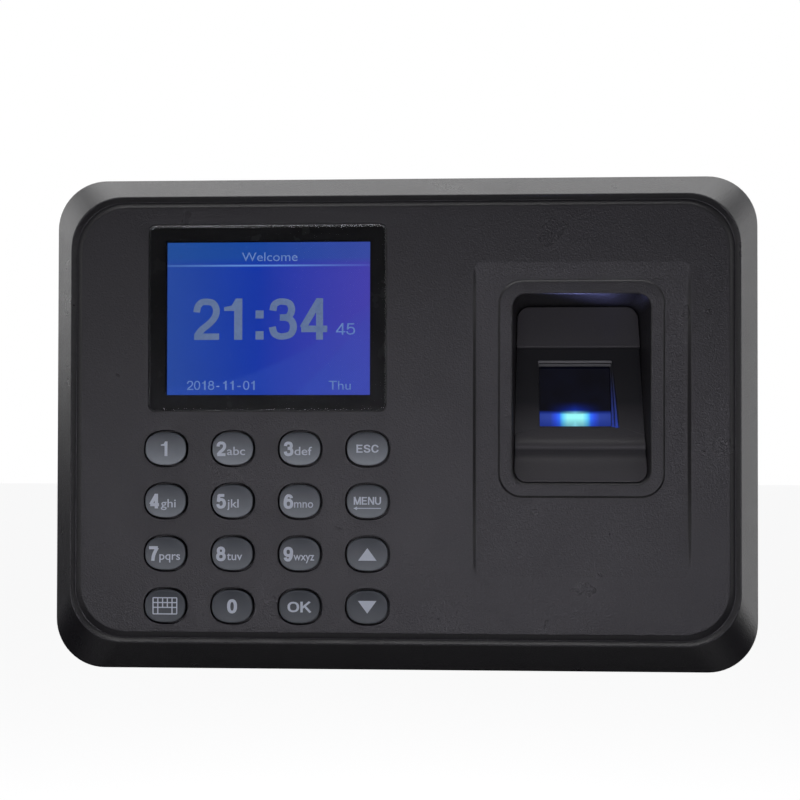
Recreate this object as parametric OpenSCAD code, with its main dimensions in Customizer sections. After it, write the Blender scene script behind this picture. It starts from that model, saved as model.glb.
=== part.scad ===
// Wall-mounted fingerprint terminal: colour screen, sixteen-key pad and a finger well.
// Every piece is drawn with the terminal lying on its back: x runs to the right, y runs up
// the front, and z runs from the wall (z = 0) out to the front. stand_up() then turns it,
// so that the front faces -Y and +Z is up. The origin is the middle of the wall plate's
// four screw holes, on the wall's face. Sizes are in millimetres.

/* [Case] */
// Width of the rim, between the inner edges of the bevels
rim_w = 159; // [157:0.5:200]
// Height of the rim, between the inner edges of the bevels
rim_h = 106.5; // [105:0.5:140]
// Depth from the wall to the rim
case_depth = 33; // [32:0.5:45]
// Bevel's run outwards at the top and on both sides
bevel_side = 5.95; // [4:0.05:8]
// Bevel's run outwards at the bottom
bevel_bottom = 7.45; // [4:0.05:9]
// Depth over which the bevel falls away
bevel_fall = 8.35; // [6:0.05:10]
// Corner radius at the rim
rim_r = 12.5; // [9:0.5:16]
// Corner radius of the widest outline
case_r = 12; // [9:0.5:16]
// Wall thickness of both covers
wall = 2.2; // [1.8:0.1:2.8]
// Height of the joint between the covers above the wall
split_z = 12; // [11:0.5:12.5]
// Step inwards from the front cover to the rear cover at their joint
split_step = 0.3; // [0:0.1:0.8]
// Height and inset of the rear cover's rounded back edge
back_edge = 2.6; // [1:0.1:3]
// Height of the rear cover's lip inside the front cover
lip_h = 1.6; // [1:0.1:3]
// Thickness of the rear cover's lip
lip_t = 1.1; // [0.8:0.1:1.6]

/* [Front groove] */
// Width of the groove's outer wall, seen from the front
groove_wall = 1.1; // [0.5:0.1:2]
// Width of the groove's inner slope, seen from the front
groove_slope = 1.4; // [0.5:0.1:3]
// Depth of the groove below the rim
groove_depth = 1; // [0.5:0.1:1.4]
// Depth of the face below the rim
face_drop = 0.3; // [0:0.05:0.5]
// Corner radius of the face, inside the groove
face_r = 11; // [8:0.5:14]

/* [Screen] */
// Width of the screen lens
lens_w = 56.8; // [54:0.1:60]
// Height of the screen lens
lens_h = 44.4; // [42:0.1:46]
// Thickness of the screen lens
lens_t = 1.5; // [1:0.1:1.8]
// Corner radius of the screen lens
lens_r = 1.5; // [0.5:0.1:4]
// Left edge of the rim to the left edge of the lens
lens_margin_x = 18.8; // [16.5:0.1:21]
// Top edge of the rim to the top edge of the lens
lens_margin_y = 6.75; // [6:0.05:9]
// How far the lens stands proud of the face
lens_proud = 0.15; // [0:0.05:0.5]
// Thickness of the tape under the lens
tape_t = 0.2; // [0.1:0.05:0.4]
// Width of the display's picture
picture_w = 48.96; // [44:0.01:50]
// Height of the display's picture
picture_h = 36.72; // [32:0.01:38]
// Width of the display module
lcd_w = 60.26; // [56:0.01:61]
// Height of the display module
lcd_h = 42.72; // [40:0.01:44]
// Thickness of the display's glass
lcd_glass_t = 1.4; // [1:0.1:2]
// Thickness of the display's backlight tray
lcd_tray_t = 2.2; // [1.5:0.1:2.4]
// How far the module's middle lies to the right of the picture's middle
lcd_shift = 2; // [0:0.1:2.5]
// Height of the picture's middle above the lens's middle
picture_rise = 0; // [-1:0.1:1]

/* [Keypad] */
// Distance between neighbouring key columns
key_pitch_x = 16.1; // [14.5:0.05:16.4]
// Distance between neighbouring key rows
key_pitch_y = 12.5; // [11.5:0.05:12.6]
// Bottom edge of the rim to the middle of the lowest key row
key_margin_y = 8.75; // [8.3:0.05:9.5]
// Width of a key's top
key_w = 9.7; // [8:0.1:10.5]
// Height of a key's top
key_h = 7.8; // [6:0.1:8.2]
// Roundness of a key's outline, from 2 for an ellipse up to 4 for a soft rectangle
key_power = 2.4; // [2:0.1:4]
// Gap between a key and its hole
key_gap = 0.4; // [0.2:0.05:0.6]
// How far a key stands proud of the face
key_proud = 0.6; // [0.2:0.1:1.5]
// Travel of a key
key_travel = 0.8; // [0.4:0.1:1.2]
// Width of the flange that holds a key in, beyond the key
key_flange = 1.1; // [0.8:0.1:1.3]
// Thickness of that flange
key_flange_t = 0.9; // [0.6:0.1:1.2]
// Radius of the plunger behind a key
key_plunger_r = 2.2; // [1.5:0.1:2.6]
// Thickness of the silicone mat
mat_t = 1.2; // [0.8:0.1:1.6]
// Gap around a plunger in the mat
mat_gap = 0.8; // [0.5:0.1:1]

/* [Finger well] */
// Right edge of the rim to the middle of the well
well_margin_x = 37.1; // [36:0.1:38]
// Height of the well's middle above the middle of the face
well_rise = 7.25; // [5:0.05:9]
// Width of the well's mouth
well_w = 32.65; // [27:0.05:33]
// Height of the well's mouth
well_h = 44.9; // [42:0.1:48]
// Corner radius of the well's mouth
well_r = 3.2; // [2.5:0.1:5]
// Inward draft of the well's walls, per millimetre of depth
well_draft = 0.139; // [0.08:0.001:0.16]
// Depth of the well's floor at its top end
well_depth_top = 11.3; // [11:0.1:12]
// Depth of the well's floor at its bottom end
well_depth_bottom = 2; // [1.5:0.1:3]
// Thickness of the collar around the well
collar_t = 1.9; // [1.2:0.1:2]
// Width of the raised pad around the well's mouth
pad_border = 3.1; // [2:0.1:4]
// Corner radius of the raised pad
pad_r = 5.5; // [4:0.1:8]
// Height of the raised pad above the scoop
pad_step = 0.5; // [0.2:0.05:0.8]
// Width of the scoop around the pad
scoop_w = 50.5; // [48:0.1:54]
// Height of the scoop
scoop_h = 74.5; // [70:0.1:80]
// Greatest depth of the scoop
scoop_depth = 1.3; // [0.8:0.1:1.5]
// Extra thickness of the face behind the scoop
scoop_backing = 1.6; // [1:0.1:2]

/* [Sensor] */
// Width of the sensor's window
window_w = 17.2; // [14:0.1:18]
// Height of the sensor's window
window_h = 14.6; // [12:0.1:16]
// How far the window's middle lies to the left of the well's middle
window_shift = 0.8; // [0:0.1:1.5]
// Height of the window's middle above the middle of the face
window_rise = 5.9; // [4:0.1:7]
// Width of each step around the window
window_step = 0.75; // [0.4:0.05:1]
// Depth of each step around the window
window_step_depth = 0.7; // [0.4:0.05:0.9]
// Thickness of the well's insert
insert_t = 2.3; // [2:0.1:2.6]
// Gap between the insert and the well's walls
insert_gap = 0.12; // [0.05:0.01:0.3]
// Height of the insert's upper panel
panel_h = 10.2; // [8:0.1:11]
// Depth of the finger bed below the upper panel
bed_drop = 0.75; // [0.3:0.05:1]
// Width of the prism
prism_w = 20; // [19:0.1:22]
// Thickness of the prism
prism_t = 5; // [4:0.1:6]
// Width of the optical housing
optics_w = 26; // [24:0.1:28]
// Height of the optical housing
optics_h = 34; // [30:0.5:36]
// Height of the optical housing's back above the wall
optics_z = 9.2; // [8.5:0.1:10]
// Wall thickness of the optical housing
optics_wall = 1.8; // [1.2:0.1:2.2]
// Thickness of the sensor's board
sensor_board_t = 1.2; // [1:0.1:1.6]
// Radius of the camera's lens barrel
barrel_r = 4; // [3:0.1:5]

/* [Main board] */
// Thickness of the main board
board_t = 1.6; // [1:0.1:1.6]
// Distance from the back of the face to the main board
board_drop = 5.5; // [5:0.1:6]
// How far the board reaches past the lens's right edge
board_right = 15; // [12:0.5:17]
// How far the board's mounting holes lie from its edges
board_hole_inset = 3; // [2.6:0.1:4]
// Width of the USB socket's shell
usb_w = 13.1; // [12.5:0.1:14]
// Height of the USB socket's shell
usb_h = 5.7; // [5.2:0.1:6]
// Length of the USB socket's shell
usb_l = 14; // [12:0.5:18]
// Thickness of the USB socket's shell
usb_t = 0.3; // [0.2:0.05:0.5]
// Height of the USB socket above the middle of the face
usb_y = 0; // [-2:0.5:10]
// Width of the power jack
jack_w = 9; // [8:0.5:10]
// Height of the power jack
jack_h = 10.5; // [9:0.5:11]
// Length of the power jack
jack_l = 14; // [11:0.5:15]
// Radius of the power jack's socket
jack_r = 2.75; // [2.5:0.05:3]
// Radius of the power jack's centre pin
jack_pin_r = 1.05; // [0.8:0.05:1.25]
// Height of the power jack above the middle of the face
jack_y = -28; // [-30:0.5:-22]
// Radius of the clock's coin cell
cell_r = 10; // [8:0.5:10]
// Thickness of the clock's coin cell
cell_t = 3.2; // [2:0.1:3.2]

/* [Speaker] */
// Radius of the speaker
speaker_r = 14; // [10:0.5:14]
// Height of the speaker above the middle of the face
speaker_y = -10; // [-12:0.5:10]
// Thickness of the speaker's frame
speaker_t = 2.4; // [2:0.1:3]
// Thickness of the speaker's magnet
magnet_t = 3.4; // [2:0.1:3.6]
// Radius of the speaker's magnet
magnet_r = 7; // [5:0.5:8]

/* [Screws] */
// Distance from the rim's edges to the case screws
boss_inset = 5.5; // [5:0.1:6.5]
// Radius of the case screw bosses
boss_r = 3.4; // [3:0.1:3.6]
// Radius of the case screws' threads
case_screw_r = 1.45; // [1.2:0.05:1.6]
// Radius of the case screws' heads
case_head_r = 2.7; // [2.2:0.1:2.8]
// Radius of the small bosses for boards
small_boss_r = 2.5; // [2.2:0.1:2.6]
// Radius of the small screws' threads
small_screw_r = 1.2; // [0.9:0.05:1.3]
// Radius of the small screws' heads
small_head_r = 2.3; // [1.8:0.1:2.5]
// Gap between a screw and what it passes through or bites into
screw_gap = 0.05; // [0.02:0.01:0.1]
// Gap between a screw and its clearance hole
hole_gap = 0.3; // [0.2:0.05:0.5]

/* [Wall plate] */
// Width of the wall plate
plate_w = 96; // [84:1:98]
// Distance from the screw pattern's middle to the plate's top edge
plate_top = 42; // [36:0.5:44]
// Distance from the screw pattern's middle to the plate's bottom edge
plate_bottom = 49; // [44:0.5:50]
// Thickness of the wall plate
plate_t = 1.2; // [0.8:0.1:1.5]
// Corner radius of the wall plate
plate_r = 5; // [2:0.5:8]
// Spacing of the wall screws across
bolt_x = 70; // [60:1:76]
// Spacing of the wall screws up and down
bolt_y = 60; // [56:1:66]
// Radius of the wall screw holes
bolt_r = 2.25; // [1.75:0.05:2.75]
// Spacing of the hooks across
hook_x = 56; // [40:1:60]
// Spacing of the hooks up and down
hook_y = 40; // [30:1:42]
// Width of a hook
hook_w = 8; // [6:0.5:10]
// Height of a hook's lip
hook_lip = 4; // [3:0.5:5]
// Distance that the terminal drops as it is hung on the hooks
hook_drop = 3.5; // [2.5:0.5:3.5]
// Gap between the wall plate and the rear cover
plate_gap = 0.3; // [0.2:0.1:0.6]
// Width of the tab that takes the locking screw
tab_w = 14; // [10:1:18]
// Height of the locking screw above the wall
lock_z = 6.8; // [6.5:0.1:7]

/* [Hidden] */

$fn = 48;
// Small overlap that lets a cut pass cleanly through a face
cut = 0.5;
// Gap between pieces that rest on each other
rest_gap = 0.05;
// Gap between pieces that move past each other or are slid together
loose_gap = 0.15;
// Segments in a quarter turn of an outline's corner
corner_steps = 8;
// Points around a key's outline
key_points = 32;

// Levels above the wall
rim_z = case_depth;
wide_z = rim_z - bevel_fall;
face_z = rim_z - face_drop;
groove_z = rim_z - groove_depth;
face_back_z = face_z - wall;
board_z = face_back_z - board_drop;
board_back_z = board_z - board_t;
recess_z = plate_t + plate_gap;
floor_z = recess_z + wall - rest_gap;

// Places on the face
lens_x0 = -rim_w / 2 + lens_margin_x;
lens_x1 = lens_x0 + lens_w;
lens_y1 = rim_h / 2 - lens_margin_y;
lens_y0 = lens_y1 - lens_h;
screen_x = (lens_x0 + lens_x1) / 2;
screen_y = (lens_y0 + lens_y1) / 2;
picture_y = screen_y + picture_rise;
key_x0 = screen_x - 1.5 * key_pitch_x;
key_y0 = -rim_h / 2 + key_margin_y;
well_x = rim_w / 2 - well_margin_x;
well_y0 = well_rise - well_h / 2;
well_y1 = well_rise + well_h / 2;
window_x = well_x - window_shift;
boss_x = rim_w / 2 - boss_inset;
boss_y = rim_h / 2 - boss_inset;
inner_left = -rim_w / 2 - bevel_side + wall;

// Display module
lcd_x = screen_x + lcd_shift;
lcd_front_z = face_back_z - 0.4;
lcd_glass_z = lcd_front_z - lcd_glass_t;
lcd_tray_z = lcd_glass_z - rest_gap - lcd_tray_t;

// Keys: the flange rests just behind the face, and the plunger stops short of the board
key_top_z = face_z + key_proud;
key_flange_z = face_back_z - loose_gap - key_flange_t;
key_tip_z = board_z + key_travel + 2 * loose_gap;

// Main board: a block behind the screen and keys, and a tongue to the sockets on the left
board_x0 = -boss_x + boss_r + 0.6;
board_x1 = lens_x1 + board_right;
board_y0 = key_y0 - key_h / 2 - 2.5;
board_y1 = lens_y1 + 2.5;
tongue_x0 = inner_left + 2.5;
tongue_y0 = jack_y - jack_w / 2 - 3;
tongue_y1 = max(usb_y + usb_w / 2 + 8, 10);
board_holes = [for (x = [board_x0 + board_hole_inset, board_x1 - board_hole_inset])
    for (y = [board_y0 + board_hole_inset + 1, board_y1 - board_hole_inset]) [x, y]];
small_screw_l = 6;
small_head_h = 1.7;

// Parts on the back of the main board, in columns beside the screen's middle
chip_x = screen_x + 6;
chip_y = -6;
side_x = screen_x + 20;
cell_x = screen_x + 12;
cell_y = picture_y + 2;
cell_floor = 0.6;
connector_w = 5;
connector_t = 5;
lead_x = screen_x - 24;
lead_y = -14;
cable_x = board_x1 - 4;
cable_y = 4;
cable_t = 0.8;

// Sockets on the left wall
usb_x0 = inner_left - wall + 0.4;
usb_z1 = board_back_z - rest_gap;
jack_x0 = inner_left + loose_gap;
jack_z1 = board_back_z - rest_gap;
jack_axis_z = jack_z1 - jack_h + jack_w / 2;
jack_mouth_r = jack_r + 0.5;
jack_pin_l = 9;
jack_pin_back = 1;

// Finger well: the insert's surface, from its top end down to its bottom end
collar_z = rim_z - well_depth_top - insert_t - rest_gap;
panel_y = well_y1 - well_draft * well_depth_top - panel_h;
floor_slope = (well_depth_top - well_depth_bottom) / well_h;
function floor_depth(y) = well_depth_bottom + floor_slope * (y - well_y0);
ridge_y = well_y0 + 9.6;
ridge_w = 0.9;
hollow_y = well_y0 + 7;
hollow_w = 0.7;
hollow_depth = 0.9;
bed_end_y = ridge_y + 1.2;
bed_start_y = panel_y - 0.5;
window_y0 = window_rise - window_h / 2;
window_y1 = window_rise + window_h / 2;

// Optical housing behind the insert, with a neck that follows the well's width
optics_y0 = well_rise + 1 - optics_h / 2;
optics_y1 = optics_y0 + optics_h;
collar_w = well_w - 2 * well_draft * (rim_z - collar_z);
neck_w = min(optics_w, collar_w - 2 * window_shift - 4 * loose_gap);
ear_t = 2;
ear_h = 7;
ear_z = 15.2;
ear_x = well_w / 2 + collar_t + small_boss_r + 0.6;
ear_ys = [optics_y0 + 6, optics_y1 - 6];
prism_y0 = window_y0 - 2;
prism_y1 = window_y1 + 2;
barrel_h = 2.3;
led_size = 2.4;
led_t = 1.4;
led_pitch = 6;
sensor_board_z = optics_z - rest_gap - sensor_board_t;
sensor_margin = 1.2;

// Scoop: a wide cylinder across the face
scoop_radius = (scoop_h * scoop_h / 4 + scoop_depth * scoop_depth) / (2 * scoop_depth);

// Rear cover
rear_side = bevel_side - split_step;
rear_bottom = bevel_bottom - split_step;
rear_back_t = wall + 0.4;
lip_root = 2;
plate_edge = plate_w / 2 + plate_gap + 0.2;
slot_gap = 0.8;

// Case screws: their heads sit in counterbores up the rear cover's posts
head_mouth_z = 8;
case_screw_l = 12;
case_head_h = 2;
post_floor_z = head_mouth_z + case_head_h;

// Speaker: midway between the left wall and the wall plate's recess
speaker_x = (inner_left - plate_edge - 0.8) / 2;
speaker_rim = 1.4;
speaker_ring_t = 1.2;
grille_slot = 1.6;
grille_margin = 3;
speaker_z = floor_z + rest_gap;

// Locking screw: up through the rear cover's bottom wall and past the wall plate's tab
lock_sink = 1.2;
lock_y0 = -rim_h / 2 - rear_bottom + lock_sink;
lock_reach = 1.5;
lock_screw_l = -plate_bottom + plate_t + lock_reach - lock_y0 + rest_gap;
lock_head_h = 1.6;
lock_pad_w = tab_w - 4;
lock_pad_t = 2.8;
lock_pad_z1 = split_z - 2;

/* Shared shapes */

// Turns what is drawn lying on its back upright, with the front towards -Y
module stand_up() {
    rotate([90, 0, 0])
        children();
}

// A quarter turn of an outline's corner
function corner_arc(cx, cy, r, start) = [for (i = [0:corner_steps])
    [cx + r * cos(start + 90 * i / corner_steps), cy + r * sin(start + 90 * i / corner_steps)]];

// Outline of a rectangle with round corners, anticlockwise
function round_rect(x0, x1, y0, y1, r) = concat(
    corner_arc(x1 - r, y1 - r, r, 0),
    corner_arc(x0 + r, y1 - r, r, 90),
    corner_arc(x0 + r, y0 + r, r, 180),
    corner_arc(x1 - r, y0 + r, r, 270));

// Outline of the case, grown from the rim by one amount at the bottom and another elsewhere
function case_outline(side, bottom, r) =
    round_rect(-rim_w / 2 - side, rim_w / 2 + side, -rim_h / 2 - bottom, rim_h / 2 + side, r);

// Outline of the well at a depth below the rim, grown by an amount
function well_outline(depth, grow) = round_rect(
    well_x - well_w / 2 + well_draft * depth - grow,
    well_x + well_w / 2 - well_draft * depth + grow,
    well_y0 + well_draft * depth - grow,
    well_y1 - well_draft * depth + grow,
    well_r + grow);

// Outline of a key, grown by an amount
function key_outline(grow) = [for (i = [0:key_points - 1])
    let (a = 360 * i / key_points, c = cos(a), s = sin(a))
    [(key_w / 2 + grow) * sign(c) * pow(abs(c), 2 / key_power),
     (key_h / 2 + grow) * sign(s) * pow(abs(s), 2 / key_power)]];

// Solid through a stack of outlines that all have the same number of points
module loft(levels, outlines) {
    count = len(outlines[0]);
    last = (len(levels) - 1) * count;
    points = [for (k = [0:len(levels) - 1]) for (p = outlines[k]) [p[0], p[1], levels[k]]];
    sides = [for (k = [0:len(levels) - 2]) for (i = [0:count - 1])
        let (a = k * count + i, b = k * count + (i + 1) % count)
        for (face = [[a, a + count, b + count], [a, b + count, b]]) face];
    bottom = [for (i = [0:count - 1]) i];
    top = [for (i = [count - 1:-1:0]) last + i];
    polyhedron(points, concat([bottom, top], sides));
}

// Flat plate of an outline between two levels
module slab(outline, z0, z1) {
    translate([0, 0, z0])
        linear_extrude(z1 - z0)
            polygon(outline);
}

// Block given by its lowest and highest corners
module box(low, high) {
    translate(low)
        cube(high - low);
}

// Cylinder that stands at a place and runs up to a level
module post(x, y, z0, z1, r) {
    translate([x, y, z0])
        cylinder(r = r, h = z1 - z0);
}

// Direction across a bent strip at one of its points
function across(p, i) =
    let (v = p[min(i + 1, len(p) - 1)] - p[max(i - 1, 0)])
    [-v[1], v[0]] / norm(v);

// Outline of a thin strip that follows a line of points
function strip_outline(p, t) = concat(
    [for (i = [0:len(p) - 1]) p[i] + across(p, i) * t / 2],
    [for (i = [len(p) - 1:-1:0]) p[i] - across(p, i) * t / 2]);

// Strip in the x-z plane, as wide in y as asked for
module strip(p, t, y, width) {
    translate([0, y + width / 2, 0])
        rotate([90, 0, 0])
            linear_extrude(width)
                polygon(strip_outline(p, t));
}

// Screw with a cross recess: its head's underside is at z = 0 and it runs up from there
module screw(r, length, head_r, head_h) {
    recess = head_h * 0.6;
    arm = head_r * 1.1;
    difference() {
        union() {
            cylinder(r = r, h = length);
            translate([0, 0, -head_h])
                cylinder(r = head_r, h = head_h);
        }
        for (turn = [0, 90])
            rotate(turn)
                translate([-arm / 2, -arm / 8, -head_h - cut])
                    cube([arm, arm / 4, recess + cut]);
    }
}

// Children at the four case screws
module at_case_screws() {
    for (x = [-boss_x, boss_x])
        for (y = [-boss_y, boss_y])
            translate([x, y, 0])
                children();
}

// Children at the main board's four screws
module at_board_screws() {
    for (p = board_holes)
        translate([p[0], p[1], 0])
            children();
}

// Children at the optical housing's four screws
module at_sensor_screws() {
    for (x = [-ear_x, ear_x])
        for (y = ear_ys)
            translate([well_x + x, y, 0])
                children();
}

/* Covers */

// Case between the covers' joint and the rim, with the bevel
module front_shell() {
    loft([split_z, wide_z, rim_z],
        [case_outline(bevel_side, bevel_bottom, case_r),
         case_outline(bevel_side, bevel_bottom, case_r),
         case_outline(0, 0, rim_r)]);
}

// Hollow of the front cover, whose walls follow the outside
module front_hollow() {
    back_t = (rim_z - face_back_z) / bevel_fall;
    loft([split_z - cut, wide_z, face_back_z],
        [case_outline(bevel_side - wall, bevel_bottom - wall, case_r - wall),
         case_outline(bevel_side - wall, bevel_bottom - wall, case_r - wall),
         case_outline(bevel_side * back_t - wall, bevel_bottom * back_t - wall, rim_r - wall)]);
}

// What is taken away inside the rim: the groove, and the air in front of the face
module groove() {
    inset = groove_wall + groove_slope;
    groove_r = (rim_r + face_r) / 2;
    rise = cut / groove_depth;
    difference() {
        loft([groove_z, rim_z + cut],
            [case_outline(-groove_wall, -groove_wall, groove_r),
             case_outline(groove_wall * rise, groove_wall * rise,
                 rim_r + (rim_r - groove_r) * rise)]);
        loft([groove_z - cut, groove_z, face_z],
            [case_outline(-groove_wall, -groove_wall, groove_r),
             case_outline(-groove_wall, -groove_wall, groove_r),
             case_outline(-inset, -inset, face_r)]);
    }
}

// The wide cylinder that scoops the face, raised by an amount
module scoop_cylinder(raise) {
    translate([well_x - scoop_w / 2, 0, face_z - scoop_depth + scoop_radius + raise])
        rotate([0, 90, 0])
            cylinder(r = scoop_radius, h = scoop_w, $fn = 720);
}

// Block over the pad around the well's mouth
module pad_block() {
    slab(round_rect(
        well_x - well_w / 2 - pad_border, well_x + well_w / 2 + pad_border,
        well_y0 - pad_border, well_y1 + pad_border, pad_r),
        face_z - scoop_depth - cut, rim_z + cut);
}

// What the scoop takes away, which is less over the pad
module scoop() {
    difference() {
        scoop_cylinder(0);
        pad_block();
    }
    intersection() {
        scoop_cylinder(pad_step);
        pad_block();
    }
}

// Collar around the well, down to behind the insert, and the thicker face around it
module well_collar() {
    bottom_depth = rim_z - collar_z;
    loft([collar_z, face_back_z + cut],
        [well_outline(bottom_depth, collar_t),
         well_outline(rim_z - face_back_z - cut, collar_t)]);
    slab(round_rect(
        well_x - scoop_w / 2 - wall, well_x + scoop_w / 2 + wall,
        -scoop_h / 2, scoop_h / 2, well_r), face_back_z - scoop_backing, face_back_z + cut);
}

// The space inside the well, from behind the insert to in front of the face
module well_space(grow) {
    low_depth = rim_z - collar_z + cut;
    loft([collar_z - cut, rim_z + cut],
        [well_outline(low_depth, grow), well_outline(-cut, grow)]);
}

// Boss that hangs from the face down to a level, with a blind hole for a screw
module boss(z, r) {
    post(0, 0, z, face_back_z + cut, r);
}

module front_cover() {
    color([0.13, 0.125, 0.12])
        stand_up()
            difference() {
                union() {
                    difference() {
                        front_shell();
                        front_hollow();
                    }
                    well_collar();
                    at_case_screws()
                        boss(split_z, boss_r);
                    at_board_screws()
                        boss(board_z, small_boss_r);
                    at_sensor_screws()
                        boss(ear_z + ear_t, small_boss_r);
                }
                groove();
                scoop();
                well_space(0);
                lens_pocket();
                for (column = [0:3])
                    for (row = [0:3])
                        translate([key_x0 + column * key_pitch_x, key_y0 + row * key_pitch_y, 0])
                            slab(key_outline(key_gap), face_back_z - cut, rim_z + cut);
                at_case_screws()
                    post(0, 0, split_z - cut, post_floor_z + case_screw_l + 1,
                        case_screw_r + screw_gap);
                at_board_screws()
                    post(0, 0, board_z - cut, board_back_z + small_screw_l + 0.5,
                        small_screw_r + screw_gap);
                at_sensor_screws()
                    post(0, 0, ear_z + ear_t - cut, ear_z + small_screw_l + 0.5,
                        small_screw_r + screw_gap);
                socket_windows();
            }
}

// Pocket for the lens and its tape, and the opening for the picture
module lens_pocket() {
    border = 1.2;
    slab(round_rect(
        lens_x0 - loose_gap, lens_x1 + loose_gap, lens_y0 - loose_gap, lens_y1 + loose_gap,
        lens_r + loose_gap), face_z + lens_proud - lens_t - tape_t, rim_z + cut);
    slab(round_rect(
        screen_x - picture_w / 2 - border, screen_x + picture_w / 2 + border,
        picture_y - picture_h / 2 - border, picture_y + picture_h / 2 + border,
        lens_r), face_back_z - cut, rim_z + cut);
}

// Openings in the left wall for the USB socket and the power jack
module socket_windows() {
    box([usb_x0 - 2 * cut, usb_y - usb_w / 2 - loose_gap, usb_z1 - usb_h - loose_gap],
        [inner_left + cut, usb_y + usb_w / 2 + loose_gap, usb_z1 + loose_gap]);
    translate([usb_x0 - 2 * cut, jack_y, jack_axis_z])
        rotate([0, 90, 0])
            cylinder(r = jack_mouth_r, h = inner_left + 3 * cut - usb_x0);
}

// Outside of the rear cover, with its back edge rounded off
module rear_shell() {
    half = back_edge / 3;
    loft([0, half, back_edge, split_z],
        [case_outline(rear_side - back_edge, rear_bottom - back_edge, case_r - back_edge),
         case_outline(rear_side - half, rear_bottom - half, case_r - half),
         case_outline(rear_side, rear_bottom, case_r),
         case_outline(rear_side, rear_bottom, case_r)]);
}

// Hollow of the rear cover
module rear_hollow() {
    slab(case_outline(rear_side - wall, rear_bottom - wall, case_r - wall),
        rear_back_t, split_z + cut);
}

// Lip that reaches into the front cover, with a notch that clears the power jack
module rear_lip() {
    difference() {
        slab(case_outline(bevel_side - wall - loose_gap, bevel_bottom - wall - loose_gap,
            case_r - wall), split_z - lip_root, split_z + lip_h);
        slab(case_outline(bevel_side - wall - loose_gap - lip_t,
            bevel_bottom - wall - loose_gap - lip_t,
            case_r - wall - lip_t), split_z - lip_root - cut, split_z + lip_h + cut);
        box([inner_left - cut, jack_y - jack_w / 2 - 2 * loose_gap, jack_z1 - jack_h - loose_gap],
            [inner_left + wall + lip_t, jack_y + jack_w / 2 + 2 * loose_gap,
            split_z + lip_h + cut]);
    }
}

// Outline of the recess for the wall plate, grown by an amount
function recess_outline(grow) = round_rect(
    -plate_edge - grow, plate_edge + grow,
    -plate_bottom - hook_drop - grow - plate_gap, plate_top + grow + plate_gap, plate_r);

// Slots that the wall plate's hooks and tab pass through
module plate_slots() {
    for (x = [-hook_x / 2, hook_x / 2])
        for (y = [-hook_y / 2, hook_y / 2])
            box([x - hook_w / 2 - slot_gap, y - hook_drop - slot_gap, recess_z - cut],
                [x + hook_w / 2 + slot_gap, y + plate_t + slot_gap + loose_gap, floor_z + cut]);
    box([-tab_w / 2 - slot_gap, -plate_bottom - hook_drop - plate_gap, recess_z - cut],
        [tab_w / 2 + slot_gap, -plate_bottom + plate_t + slot_gap, floor_z + cut]);
}

// Slots in front of the speaker
module speaker_grille() {
    reach = speaker_r - grille_margin;
    count = floor((reach - grille_slot / 2) / (2 * grille_slot));
    for (i = [-count:count])
        let (y = speaker_y + i * 2 * grille_slot,
            half = sqrt(pow(reach, 2) - pow(i * 2 * grille_slot, 2)))
        box([speaker_x - half, y - grille_slot / 2, -cut],
            [speaker_x + half, y + grille_slot / 2, floor_z + cut]);
}

module rear_cover() {
    color([0.15, 0.145, 0.14])
        stand_up()
            difference() {
                union() {
                    difference() {
                        rear_shell();
                        rear_hollow();
                    }
                    rear_lip();
                    slab(recess_outline(wall), wall, floor_z);
                    at_case_screws()
                        post(0, 0, wall, split_z - rest_gap, boss_r);
                    post(speaker_x, speaker_y, wall, floor_z + speaker_t,
                        speaker_r + loose_gap + speaker_ring_t);
                    box([-lock_pad_w / 2, lock_y0 + 2 - lock_pad_t, wall],
                        [lock_pad_w / 2, lock_y0 + 2, lock_pad_z1]);
                }
                slab(recess_outline(0), -cut, recess_z);
                plate_slots();
                post(speaker_x, speaker_y, floor_z, split_z, speaker_r + loose_gap);
                speaker_grille();
                at_case_screws() {
                    post(0, 0, -cut, post_floor_z, case_head_r + hole_gap);
                    post(0, 0, -cut, split_z, case_screw_r + hole_gap);
                }
                lock_screw_hole();
            }
}

// Counterbore and clearance hole for the locking screw, up through the bottom wall
module lock_screw_hole() {
    translate([0, lock_y0, lock_z])
        rotate([90, 0, 0])
            cylinder(r = case_head_r + hole_gap, h = 2 * lock_pad_t);
    translate([0, lock_y0 + 2 * lock_pad_t, lock_z])
        rotate([90, 0, 0])
            cylinder(r = case_screw_r + hole_gap, h = 3 * lock_pad_t);
}

/* Screen */

module screen_lens() {
    chamfer = 0.25;
    top = face_z + lens_proud;
    color([0.03, 0.035, 0.05])
        stand_up()
            loft([top - lens_t, top - chamfer, top],
                [round_rect(lens_x0, lens_x1, lens_y0, lens_y1, lens_r),
                 round_rect(lens_x0, lens_x1, lens_y0, lens_y1, lens_r),
                 round_rect(lens_x0 + chamfer, lens_x1 - chamfer,
                     lens_y0 + chamfer, lens_y1 - chamfer, lens_r - chamfer)]);
}

module lens_tape() {
    top = face_z + lens_proud - lens_t - rest_gap / 2;
    low = top - tape_t + rest_gap;
    edge = 0.3;
    border = 1.5;
    color([0.05, 0.05, 0.05])
        stand_up()
            difference() {
                slab(round_rect(lens_x0 + edge, lens_x1 - edge, lens_y0 + edge, lens_y1 - edge,
                    lens_r), low, top);
                slab(round_rect(
                    screen_x - picture_w / 2 - border, screen_x + picture_w / 2 + border,
                    picture_y - picture_h / 2 - border, picture_y + picture_h / 2 + border,
                    lens_r), low - cut, top + cut);
            }
}

module lcd_panel() {
    color([0.1, 0.25, 0.6])
        stand_up()
            box([lcd_x - lcd_w / 2, picture_y - lcd_h / 2, lcd_glass_z],
                [lcd_x + lcd_w / 2, picture_y + lcd_h / 2, lcd_front_z]);
}

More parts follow.
